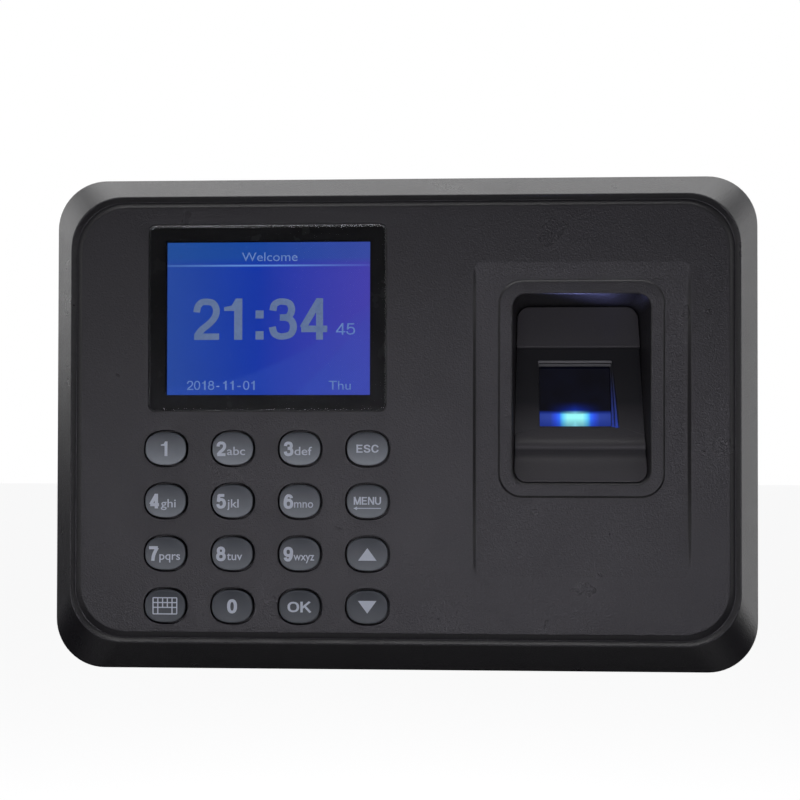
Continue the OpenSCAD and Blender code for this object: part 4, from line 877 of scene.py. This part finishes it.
# Digits and capitals as strokes: points across and up a unit box. C starts a closed bowl (its middle
# and half sizes), S a smooth stroke and L a straight one.
STROKES = {
    "0": ("C", (0.5, 0.5, 0.5, 0.5)),
    "2": ("S", (0, 0.70), (0.06, 0.87), (0.25, 0.985), (0.5, 1), (0.78, 0.97), (0.95, 0.84), (0.97, 0.68),
          (0.86, 0.52), (0.6, 0.36), (0.3, 0.22), (0.1, 0.09), (0.04, 0), "L", (-0.12, 0), (1.12, 0)),
    "3": ("S", (0.03, 0.74), (0.1, 0.91), (0.3, 0.99), (0.52, 1), (0.78, 0.96), (0.9, 0.84), (0.9, 0.7),
          (0.78, 0.58), (0.58, 0.54), (0.36, 0.54), "S", (0.36, 0.54), (0.62, 0.54), (0.86, 0.48),
          (0.99, 0.34), (0.98, 0.18), (0.84, 0.05), (0.56, 0), (0.34, 0), (0.1, 0.08), (0, 0.27)),
    "4": ("L", (0.72, 1), (-0.04, 0.25), "L", (-0.12, 0.22), (1.13, 0.22), "L", (0.76, -0.08), (0.76, 1.08)),
    "5": ("L", (0.08, 1), (0.98, 1), "L", (0.18, 1.05), (0.07, 0.46), "S", (0.03, 0.47), (0.22, 0.6),
          (0.5, 0.65), (0.8, 0.6), (0.98, 0.42), (0.97, 0.22), (0.82, 0.06), (0.52, 0), (0.26, 0.01),
          (0.06, 0.11), (0, 0.26)),
    "6": ("C", (0.5, 0.31, 0.49, 0.31), "S", (0.95, 0.78), (0.85, 0.93), (0.62, 1), (0.36, 0.98),
          (0.14, 0.8), (0.03, 0.56), (0.01, 0.3)),
    "7": ("L", (-0.12, 1), (1.1, 1), "S", (1.02, 1), (0.74, 0.7), (0.5, 0.34), (0.4, -0.08)),
    "8": ("C", (0.5, 0.77, 0.4, 0.23), "C", (0.5, 0.27, 0.5, 0.27)),
    "9": ("C", (0.5, 0.69, 0.49, 0.31), "S", (0.05, 0.22), (0.15, 0.07), (0.38, 0), (0.64, 0.02),
          (0.86, 0.2), (0.97, 0.44), (0.99, 0.7)),
    "-": ("L", (0.1, 0.36), (0.75, 0.36)),
    "C": ("S", (0.98, 0.7), (0.86, 0.9), (0.6, 1), (0.4, 1), (0.14, 0.87), (0.01, 0.62), (0.01, 0.38),
          (0.14, 0.13), (0.4, 0), (0.6, 0), (0.86, 0.1), (1, 0.32)),
    "E": ("L", (0, -0.12), (0, 1.12), "L", (-0.1, 1), (1.1, 1), "L", (-0.1, 0.52), (1, 0.52), "L",
          (-0.1, 0), (1.14, 0)),
    "K": ("L", (0, -0.12), (0, 1.12), "L", (1.02, 1.12), (0, 0.34), "L", (0.34, 0.64), (1.1, -0.12)),
    "M": ("L", (0, -0.12), (0, 1.12), "L", (0.03, 1.12), (0.5, -0.1), "L", (0.97, 1.12), (0.5, -0.1), "L",
          (1, -0.12), (1, 1.12)),
    "N": ("L", (0, -0.12), (0, 1.12), "L", (0.02, 1.1), (0.98, -0.1), "L", (1, -0.12), (1, 1.12)),
    "O": ("C", (0.5, 0.5, 0.5, 0.5)),
    "S": ("S", (0.97, 0.74), (0.88, 0.92), (0.62, 1), (0.36, 1), (0.12, 0.92), (0.04, 0.76), (0.14, 0.61),
          (0.42, 0.53), (0.68, 0.47), (0.93, 0.37), (0.98, 0.22), (0.85, 0.06), (0.58, 0), (0.34, 0),
          (0.1, 0.09), (0, 0.28)),
    "U": ("S", (0, 1.12), (0, 0.7), (0, 0.36), (0.12, 0.1), (0.36, 0), (0.64, 0), (0.88, 0.1), (1, 0.36),
          (1, 0.7), (1, 1.12)),
}
DIGIT_W = 0.62
LETTER_W = {"C": 0.74, "E": 0.64, "K": 0.72, "M": 0.84, "N": 0.72, "O": 0.8, "S": 0.68, "U": 0.72}


def smooth_path(points, steps=4):
    """Curve that passes through all its points."""
    ends = [points[0]] + list(points) + [points[-1]]
    path = []
    for p0, p1, p2, p3 in zip(ends, ends[1:], ends[2:], ends[3:]):
        for i in range(steps):
            t = i / steps
            path.append(tuple(0.5 * (2 * b + (c - a) * t + (2 * a - 5 * b + 4 * c - d) * t * t
                                     + (3 * b - a - 3 * c + d) * t ** 3)
                              for a, b, c, d in zip(p0, p1, p2, p3)))
    return path + [points[-1]]


def solid_stroke(bm, path, width, thick, closed):
    """Thin solid band along a path in x and y."""
    count = len(path)
    sides = []
    for i, (x, y) in enumerate(path):
        before = path[(i - 1) % count] if closed or i else path[0]
        after = path[(i + 1) % count] if closed or i < count - 1 else path[-1]
        dx, dy = after[0] - before[0], after[1] - before[1]
        length = math.hypot(dx, dy)
        nx, ny = -dy / length * width / 2, dx / length * width / 2
        sides.append([bm.verts.new((x + k * nx, y + k * ny, z)) for k in (1, -1) for z in (thick, 0)])
    for i in range(count if closed else count - 1):
        a, b = sides[i], sides[(i + 1) % count]
        for p, q in ((0, 2), (2, 3), (3, 1), (1, 0)):
            bm.faces.new((a[p], a[q], b[q], b[p]))
    if not closed:
        for end in (sides[0], sides[-1]):
            bm.faces.new((end[0], end[1], end[3], end[2]))


def number_mesh(text, weight, thick=0.05, advance=0.7):
    """Row of plain digits, one unit high, with strokes of a given weight."""
    bm = bmesh.new()
    at = -advance
    wide = DIGIT_W
    for sign in text:
        at += wide - DIGIT_W + advance
        wide = LETTER_W.get(sign, DIGIT_W)
        if sign == "1":
            solid_outline(bm, [(at + 0.1 + x, y) for x, y in ONE], thick)
            continue
        strokes, kind = [], None
        for item in STROKES[sign]:
            if isinstance(item, str):
                kind = item
                strokes.append((kind, []))
            else:
                strokes[-1][1].append(item)
        for kind, points in strokes:
            if kind == "C":
                cx, cy, a, b = points[0]
                points = superellipse(cx, cy, a, b, 2.3, 28)
            elif kind == "S":
                points = smooth_path(points)
            scaled = [(at + weight / 2 + x * (wide - weight), weight / 2 + y * (1 - weight))
                      for x, y in points]
            solid_stroke(bm, scaled, weight, thick, kind == "C")
    return flat_mesh(bm, "number")


def flat_mesh(bm, name):
    bmesh.ops.recalc_face_normals(bm, faces=bm.faces)
    mesh = bpy.data.meshes.new(name)
    bm.to_mesh(mesh)
    bm.free()
    return mesh


def solid_outline(bm, outline, thick):
    """Thin solid of a flat outline, drawn in x and y like lettering."""
    front = [bm.verts.new((x, y, thick)) for x, y in outline]
    back = [bm.verts.new((x, y, 0)) for x, y in outline]
    bm.faces.new(front)
    bm.faces.new(back[::-1])
    for i in range(len(outline)):
        j = (i + 1) % len(outline)
        bm.faces.new((front[j], front[i], back[i], back[j]))


def is_drawn(text):
    """True for a word whose signs are all drawn here, and don't need the built-in font."""
    return all(sign in STROKES or sign == "1" for sign in text)


def word_mesh(text, bold, thick):
    """Thin solid lettering lying in the x-y plane; a one is drawn plain, without a foot."""
    if is_drawn(text):
        return number_mesh(text, bold, thick)
    curve = bpy.data.curves.new("word", "FONT")
    curve.body, curve.size, curve.offset, curve.extrude = text, 1.0, bold, thick / 2
    curve.resolution_u = 5
    holder = bpy.data.objects.new("word", curve)
    bpy.context.scene.collection.objects.link(holder)
    bpy.context.view_layer.update()
    mesh = bpy.data.meshes.new_from_object(holder.evaluated_get(bpy.context.evaluated_depsgraph_get()))
    bpy.data.objects.remove(holder)
    bpy.data.curves.remove(curve)
    return mesh


def shape_mesh(outlines, thick=0.05):
    bm = bmesh.new()
    for outline in outlines:
        solid_outline(bm, outline, thick)
    return flat_mesh(bm, "sign")


def fit_mesh(mesh, x0, x1, z0, z1, level_at, thick):
    """Stretches flat lettering over a box on the front and lays it on a level."""
    xs, ys = [v.co.x for v in mesh.vertices], [v.co.y for v in mesh.vertices]
    zs = [v.co.z for v in mesh.vertices]
    for v in mesh.vertices:
        x = x0 + (v.co.x - min(xs)) / (max(xs) - min(xs)) * (x1 - x0)
        z = z0 + (v.co.y - min(ys)) / (max(ys) - min(ys)) * (z1 - z0)
        rise = (v.co.z - min(zs)) / (max(zs) - min(zs)) * thick
        v.co = place(x, z, level_at(x, z) + rise)
    return mesh


def join_meshes(meshes, name):
    bm = bmesh.new()
    for mesh in meshes:
        bm.from_mesh(mesh)
    return flat_mesh(bm, name)


# ---------------------------------------------------------------- Sensor insert
INSERT_T, INSERT_GAP = 2.3, 0.12
WINDOW_W, WINDOW_LOW, WINDOW_HIGH = 17.2, -1.4, 13.2
FLOOR_SLOPE = (11.3 - 2.0) / (WELL_HIGH - WELL_LOW)
PANEL_Z, BED_DROP = 17.93, 0.75
RIDGE_Z, HOLLOW_Z, HOLLOW_DROP = -5.6, -8.2, 0.85
INSERT_TOP, INSERT_LOW, PANEL_STEP = 28.01, -14.83, 0.55
BED_LOW = RIDGE_Z + 1.4
LIP_Z, LIP_DROP = HOLLOW_Z - 1.9, 0.3
# The window's stepped edge, from the bed inwards: how far outside the glass, and how deep
WINDOW_STEPS = ((1.62, 0.0), (1.5, 0.12), (1.5, 0.62), (1.42, 0.7), (0.83, 0.7), (0.75, 0.78), (0.75, 1.32),
                (0.67, 1.4), (0.08, 1.4), (0.0, 1.48), (0.0, INSERT_T))
LEDGE_TILT = 0.16
LEDGE_FLARE = 0.75


def floor_level(height, behind=0.0):
    """Level of the well's slanting floor at a height, or of a plane some distance behind it."""
    return RIM - 2.0 - FLOOR_SLOPE * (height - WELL_LOW) - behind


def insert_profile():
    """Side view of the insert's front, from the top end down, as (height, level)."""
    drops = ((INSERT_TOP, 0), (PANEL_Z, 0), (PANEL_Z - PANEL_STEP, BED_DROP), (BED_LOW, BED_DROP))
    nodes = [(z, floor_level(z, drop)) for z, drop in drops]
    nodes.append((RIDGE_Z - 0.5, floor_level(RIDGE_Z) + 0.1))
    drops = ((HOLLOW_Z, HOLLOW_DROP), (LIP_Z, LIP_DROP))
    nodes += [(z, floor_level(z, drop)) for z, drop in drops]
    nodes.append((INSERT_LOW, floor_level(INSERT_LOW) + 0.2))
    return soften(nodes, (0.22, 0.3, 1.0, 1.1, 1.1, 1.2), 7)


def level_on(profile, height):
    for (z1, l1), (z0, l0) in zip(profile, profile[1:]):
        if z0 <= height <= z1:
            return l0 + (l1 - l0) * (height - z0) / max(z1 - z0, 1e-6)
    return profile[0][1] if height > profile[0][0] else profile[-1][1]


def build_insert():
    shell = Shell()
    profile = insert_profile()
    top, low = profile[0][0], profile[-1][0]
    turns = [WELL_R * (1 - math.cos(math.radians(a))) for a in (0, 8, 16, 25, 35, 46, 58, 70, 82, 90)]
    edge_steps = ((0.0, 0.28), (0.06, 0.12), (0.14, 0.04), (0.28, 0.0))
    bed_top, bed_low = floor_z_after(profile, PANEL_Z - 0.6), BED_LOW + 0.7
    heights = {round(z, 4) for z, _ in profile if not bed_low < z < bed_top}
    heights |= {round(top - t, 4) for t in turns} | {round(low + t, 4) for t in turns}
    heights |= {round(top - e, 4) for e, _ in edge_steps} | {round(low + e, 4) for e, _ in edge_steps}
    heights |= {round(bed_top, 4), round(bed_low, 4)}
    heights = sorted(heights, reverse=True)

    def half_width(z):
        half = WELL_HALF - WELL_DRAFT * (RIM - level_on(profile, z)) - INSERT_GAP
        near = min(top - z, z - low)
        if near < WELL_R:
            half -= WELL_R - math.sqrt(max(WELL_R ** 2 - (WELL_R - near) ** 2, 0))
        return half

    def drop_at(near):
        for (e0, d0), (e1, d1) in zip(edge_steps, edge_steps[1:]):
            if near <= e1:
                return d0 + (d1 - d0) * (near - e0) / (e1 - e0)
        return 0.0

    across = [e for e, _ in edge_steps]
    front, back = [], []
    for z in heights:
        half, level = half_width(z), level_on(profile, z)
        reach = min(half, 1.0)
        xs = [-half + e * reach for e in across] + [half * k / 4 for k in (-3, -2, -1, 0, 1, 2, 3)] \
            + [half - e * reach for e in reversed(across)]
        drops = [drop_at(min(half - abs(x), top - z, z - low)) for x in xs]
        front.append(shell.points([place(WELL_X + x, z, level - d) for x, d in zip(xs, drops)]))
        back.append(shell.points([place(WELL_X + x, z, level - INSERT_T) for x in xs]))
    k1, k0 = heights.index(round(bed_top, 4)), heights.index(round(bed_low, 4))
    for side in (front, back):
        shell.grid(side[:k1 + 1])
        shell.grid(side[k0:])
    for end in (0, -1):
        shell.grid([[row[end] for row in front], [row[end] for row in back]])
        shell.grid([front[end], back[end]])

    steps = []
    lean = math.atan(FLOOR_SLOPE)
    for grow, deep in WINDOW_STEPS:
        rect = round_rect(WINDOW_X - WINDOW_W / 2 - grow * 0.2, WINDOW_X + WINDOW_W / 2 + grow * 0.3,
                          WINDOW_LOW - grow * 0.3, WINDOW_HIGH + grow, 0.2 + grow * 0.1, 3)
        down = [(WINDOW_HIGH - z) / (WINDOW_HIGH - WINDOW_LOW) if x > WINDOW_X else 0 for x, z in rect]
        rect = [(x + grow * LEDGE_FLARE * share, z) for (x, z), share in zip(rect, down)]
        behind = BED_DROP + deep / math.cos(lean)
        above = [max(z - WINDOW_HIGH, 0) if deep > 0.2 else 0 for _, z in rect]
        steps.append(shell.points([place(x, z, floor_level(z - up, behind) + LEDGE_TILT * up)
                                   for (x, z), up in zip(rect, above)]))
    shell.walls(steps)
    normal = Vector((0, -1, FLOOR_SLOPE)).normalized()
    shell.fill(front[k1] + front[k0][::-1], [steps[0]], normal)
    shell.fill(back[k1] + back[k0][::-1], [steps[-1]], -normal)
    piece = shell.finish("sensor_insert_skin", materials["insert"], merge=1e-6, sharp=40)
    paint_light_on_ledges(piece.data)
    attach(piece, BODY)
    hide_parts("sensor_insert")


def paint_light_on_ledges(mesh):
    """Steps above the sensor's window in a pale grey as a painted highlight, and steps at its right with
    painted blue light where the sensor's light reaches.
    """
    mesh.materials.append(materials["ledge_painted_highlight"])
    mesh.materials.append(materials["ledge_lit"])
    for face in mesh.polygons:
        across, height = face.center.x / MM - WINDOW_X, face.center.z / MM
        side = across - WINDOW_W / 2
        if face.normal.y > -0.7 or abs(across) > WINDOW_W / 2 + 2.0:
            continue
        # Painted highlight on the steps above the window.
        if WINDOW_HIGH + 0.05 < height < WINDOW_HIGH + 1.45 and side < 0.45:
            face.material_index = 1
        # Painted blue light on the steps at the window's right.
        elif 0.02 < side < 1.7 and WINDOW_LOW - 0.4 < height < WINDOW_HIGH and face.area < 30 * MM * MM:
            face.material_index = 2


def floor_z_after(profile, height):
    """First height on the profile at or below the one given."""
    return max(z for z, _ in profile if z <= height)


# ---------------------------------------------------------------- Keys
def dish_level(x, z):
    """Level of a key's shallow dish at an offset from its middle."""
    reach = math.hypot(x / KEY_A, z / KEY_B)
    return KEY_TOP - KEY_CROWN * max(0.0, 1 - (reach / 0.9) ** 2)


def key_mesh():
    """A key around its own middle: dished top, rounded edge, flange and plunger."""
    shell = Shell()
    tip, chamfer, plunger_r, edge = 26.1, 0.3, 2.2, 0.2
    flange, flange_low, flange_high = 1.1, 29.45, 30.35
    rim = superellipse(0, 0, KEY_A + flange, KEY_B + flange)
    plunger = circle(0, 0, plunger_r)
    loops = [shell.loop(circle(0, 0, plunger_r - chamfer), tip), shell.loop(plunger, tip + chamfer),
             shell.loop(plunger, flange_low), shell.loop(rim, flange_low), shell.loop(rim, flange_high),
             shell.loop(superellipse(0, 0, KEY_A, KEY_B), flange_high)]
    for drop, inset in rounding(edge, range(0, 91, 15)):
        loops.append(shell.loop(superellipse(0, 0, KEY_A - inset, KEY_B - inset), KEY_TOP - drop))
    for share in (0.9, 0.83, 0.76, 0.66, 0.54, 0.42, 0.3, 0.18, 0.08):
        outline = superellipse(0, 0, KEY_A * share, KEY_B * share, 2.4 - 0.4 * (1 - share))
        loops.append(shell.points([place(x, z, dish_level(x, z)) for x, z in outline]))
    shell.walls(loops)
    shell.face(loops[0])
    shell.face(loops[-1])
    piece = shell.finish("key_cap", materials["key"], sharp=50)
    mesh = piece.data
    bpy.data.objects.remove(piece)
    return mesh


def box_outline(x0, x1, y0, y1):
    return ((x0, y0), (x1, y0), (x1, y1), (x0, y1))


def sign_mesh(kind):
    """The key signs that are not letters, drawn in millimetres around the key's middle."""
    if kind == "up":
        return shape_mesh([((-2.2, -1.5), (2.2, -1.5), (0, 1.5))])
    if kind == "down":
        return shape_mesh([((-2.2, 1.5), (0, -1.5), (2.2, 1.5))])
    if kind == "arrow":
        head = ((-3.35, -1.62), (-2.45, -2.05), (-2.45, -1.2))
        return shape_mesh([head, box_outline(-2.45, 3.2, -1.74, -1.5)])
    line, half, top, low = 0.27, 2.85, 1.95, -1.9
    levels = (top, top - 1.15, top - 2.3, low)
    rows = [box_outline(-half, half, y - line / 2, y + line / 2) for y in levels]
    for i in range(6):
        x = -half + 2 * half * i / 5
        reach = low if i in (0, 1, 4, 5) else levels[2]
        rows.append(box_outline(x - line / 2, x + line / 2, reach, top))
    return shape_mesh(rows)


# Letters beside a digit: where they start and end across the key
LETTER_SPAN = {
    "abc": (-1.35, 3.0), "def": (-1.3, 2.9), "ghi": (-1.1, 2.5), "jkl": (-1.3, 1.5), "mno": (-1.35, 3.2),
    "pqrs": (-1.4, 3.6), "tuv": (-1.3, 2.4), "wxyz": (-1.45, 3.5),
}
FONT_CAP = 0.729


def legend_parts(sign, letters):
    """Lettering of one key, as (mesh, x0, x1, lowest, highest)."""
    def word(text, x0, x1, base, cap, bold):
        mesh = word_mesh(text, bold, 0.05)
        ys = [v.co.y for v in mesh.vertices]
        if is_drawn(text):
            return mesh, x0, x1, base, base + cap
        return mesh, x0, x1, base + min(ys) * cap / FONT_CAP, base + max(ys) * cap / FONT_CAP

    if sign in ("up", "down", "input"):
        return [own_size(sign_mesh(sign))]
    if sign == "ESC":
        return [word("ESC", -2.65, 2.65, -0.95, 1.95, 0.17)]
    if sign == "MENU":
        return [word("MENU", -3.25, 3.25, -0.8, 1.95, 0.17), own_size(sign_mesh("arrow"))]
    if sign == "OK":
        return [word("OK", -2.85, 2.85, -1.45, 2.8, 0.17)]
    if letters:
        x0, x1 = LETTER_SPAN[letters]
        return [word(sign, -3.85, -1.55, -1.8, 3.5, 0.2), word(letters, x0, x1, -1.5, 2.05, 0.008)]
    if sign == "1":
        return [word(sign, -1.15, 0.45, -1.8, 3.5, 0.2)]
    return [word(sign, -1.2, 1.2, -1.7, 3.4, 0.2)]


def own_size(mesh):
    xs, ys = [v.co.x for v in mesh.vertices], [v.co.y for v in mesh.vertices]
    return mesh, min(xs), max(xs), min(ys), max(ys)


def build_keys():
    mesh = key_mesh()
    for key, (sign, letters) in KEYS.items():
        x, z = middle(key)
        at = Vector((x, 0, z)) * MM
        cap = bpy.data.objects.new(key + "_cap", mesh)
        bpy.context.scene.collection.objects.link(cap)
        cap.location = at
        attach(cap, key)
        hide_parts(key)
        meshes = []
        for word, x0, x1, low, high in legend_parts(sign, letters):
            meshes.append(fit_mesh(word, x0, x1, low, high, lambda u, v: dish_level(u, v) + 0.012, 0.03))
        legend = add_piece(key + "_legend", join_meshes(meshes, key + "_legend"), materials["legend"])
        legend.modifiers.clear()
        legend.location = at
        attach(legend, key)


# ---------------------------------------------------------------- Screen
def build_screen():
    """The printed frame behind the lens, and the words that the display shows."""
    def on_display(x, z):
        return LCD_FRONT + 0.005

    shell = Shell()
    outer, inner = lens_outline(-0.2, LENS_R), picture_outline(0.15, 0.15)
    front, back = LENS_BACK - 0.004, LENS_BACK - 0.02
    loops = [shell.loop(*ring) for ring in ((outer, back), (outer, front), (inner, front), (inner, back))]
    shell.walls(loops + loops[:1])
    frame_print = shell.finish("lens_print", materials["print"], merge=1e-7)
    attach(frame_print, BODY)

    left, top = SCREEN_X - PICTURE_W / 2, SCREEN_Z + PICTURE_H / 2
    words = [("Welcome", 18.04, 31.5, 4.5, 2.2, 0.0, "welcome"),
             ("2018-11-01", 4.85, 21.26, 35.5, 2.2, 0.12, "welcome"),
             ("Thu", 39.06, 44.4, 35.45, 2.25, 0.0, "welcome"),
             ("45", 40.8, 45.4, 22.3, 2.8, 0.11, "welcome"),
             ("2", 6.32, 12.72, 23.45, 9.95, 0.155, "clock"), ("1", 13.77, 18.2, 23.45, 9.95, 0.155, "clock"),
             ("3", 24.6, 31.4, 23.45, 9.95, 0.155, "clock"), ("4", 32.1, 38.7, 23.45, 9.95, 0.155, "clock")]
    groups = {"welcome": [], "clock": []}
    for text, u0, u1, base, cap, bold, group in words:
        mesh = word_mesh(text, bold, 0.05)
        ys = [v.co.y for v in mesh.vertices]
        drawn = text[0].isdigit()
        z0 = top - base + (0 if drawn else min(ys) * cap / FONT_CAP)
        z1 = top - base + (cap if drawn else max(ys) * cap / FONT_CAP)
        groups[group].append(fit_mesh(mesh, left + u0, left + u1, z0, z1, on_display, 0.02))
    dots = [box_outline(left + 21.4, left + 23.35, top - low, top - high)
            for low, high in ((18.3, 16.4), (23.3, 21.3))]
    dot_mesh = shape_mesh(dots)
    groups["clock"].append(fit_mesh(dot_mesh, left + 21.4, left + 23.35, top - 23.4, top - 16.4,
                                    on_display, 0.02))
    for group, meshes in groups.items():
        piece = add_piece("display_" + group, join_meshes(meshes, group), materials[group])
        piece.modifiers.clear()
        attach(piece, BODY)


# ---------------------------------------------------------------- CAD nodes that are kept
FINISHES = {
    "rear_cover": "rear", "screen_lens": "lens", "lens_tape": "tape", "lcd_panel": "picture",
    "lcd_backlight": "tray", "lcd_foam": "foam", "lcd_flex": "flex", "keypad_mat": "silicone",
    "main_board": "board", "processor": "chip", "memory_chips": "chip", "crystal": "can",
    "capacitors": "can", "board_connectors": "cream", "cell_holder": "nylon", "coin_cell": "cell",
    "usb_shell": "shell", "usb_tongue": "white", "jack_body": "nylon", "jack_pin": "contact",
    "speaker_frame": "speaker", "speaker_cone": "cone", "speaker_magnet": "magnet", "speaker_lead": "wire",
    "sensor_prism": "glass", "sensor_housing": "nylon", "sensor_board": "board_blue",
    "sensor_camera": "chip", "sensor_leds": "led", "sensor_cable": "ribbon", "case_screws": "dark_screw",
    "board_screws": "zinc", "sensor_screws": "zinc", "wall_plate": "plate", "lock_screw": "dark_screw",
}
EDGES = {
    "rear_cover": 0.25, "wall_plate": 0.15, "screen_lens": 0.12, "jack_body": 0.12, "usb_shell": 0.06,
    "usb_tongue": 0.08, "case_screws": 0.12, "lock_screw": 0.12, "sensor_housing": 0.15,
}


def finish_cad_nodes():
    for name, finish in FINISHES.items():
        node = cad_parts[name]
        node.material_slots[0].material = materials[finish]
        if name in EDGES:
            weld = node.modifiers.new("weld", "WELD")
            weld.merge_threshold = 1e-6
            flat = node.modifiers.new("flat_faces", "DECIMATE")
            flat.decimate_type = "DISSOLVE"
            flat.angle_limit = math.radians(1)
            bevel = node.modifiers.new("soft_edges", "BEVEL")
            bevel.width = EDGES[name] * MM
            bevel.segments = 3
            bevel.limit_method = "ANGLE"
            bevel.angle_limit = math.radians(30)
            bevel.harden_normals = True
            bevel.use_clamp_overlap = True


# ---------------------------------------------------------------- Scene
materials = make_materials()
add_camera()
add_studio()
build_front_cover()
build_insert()
build_keys()
build_screen()
finish_cad_nodes()
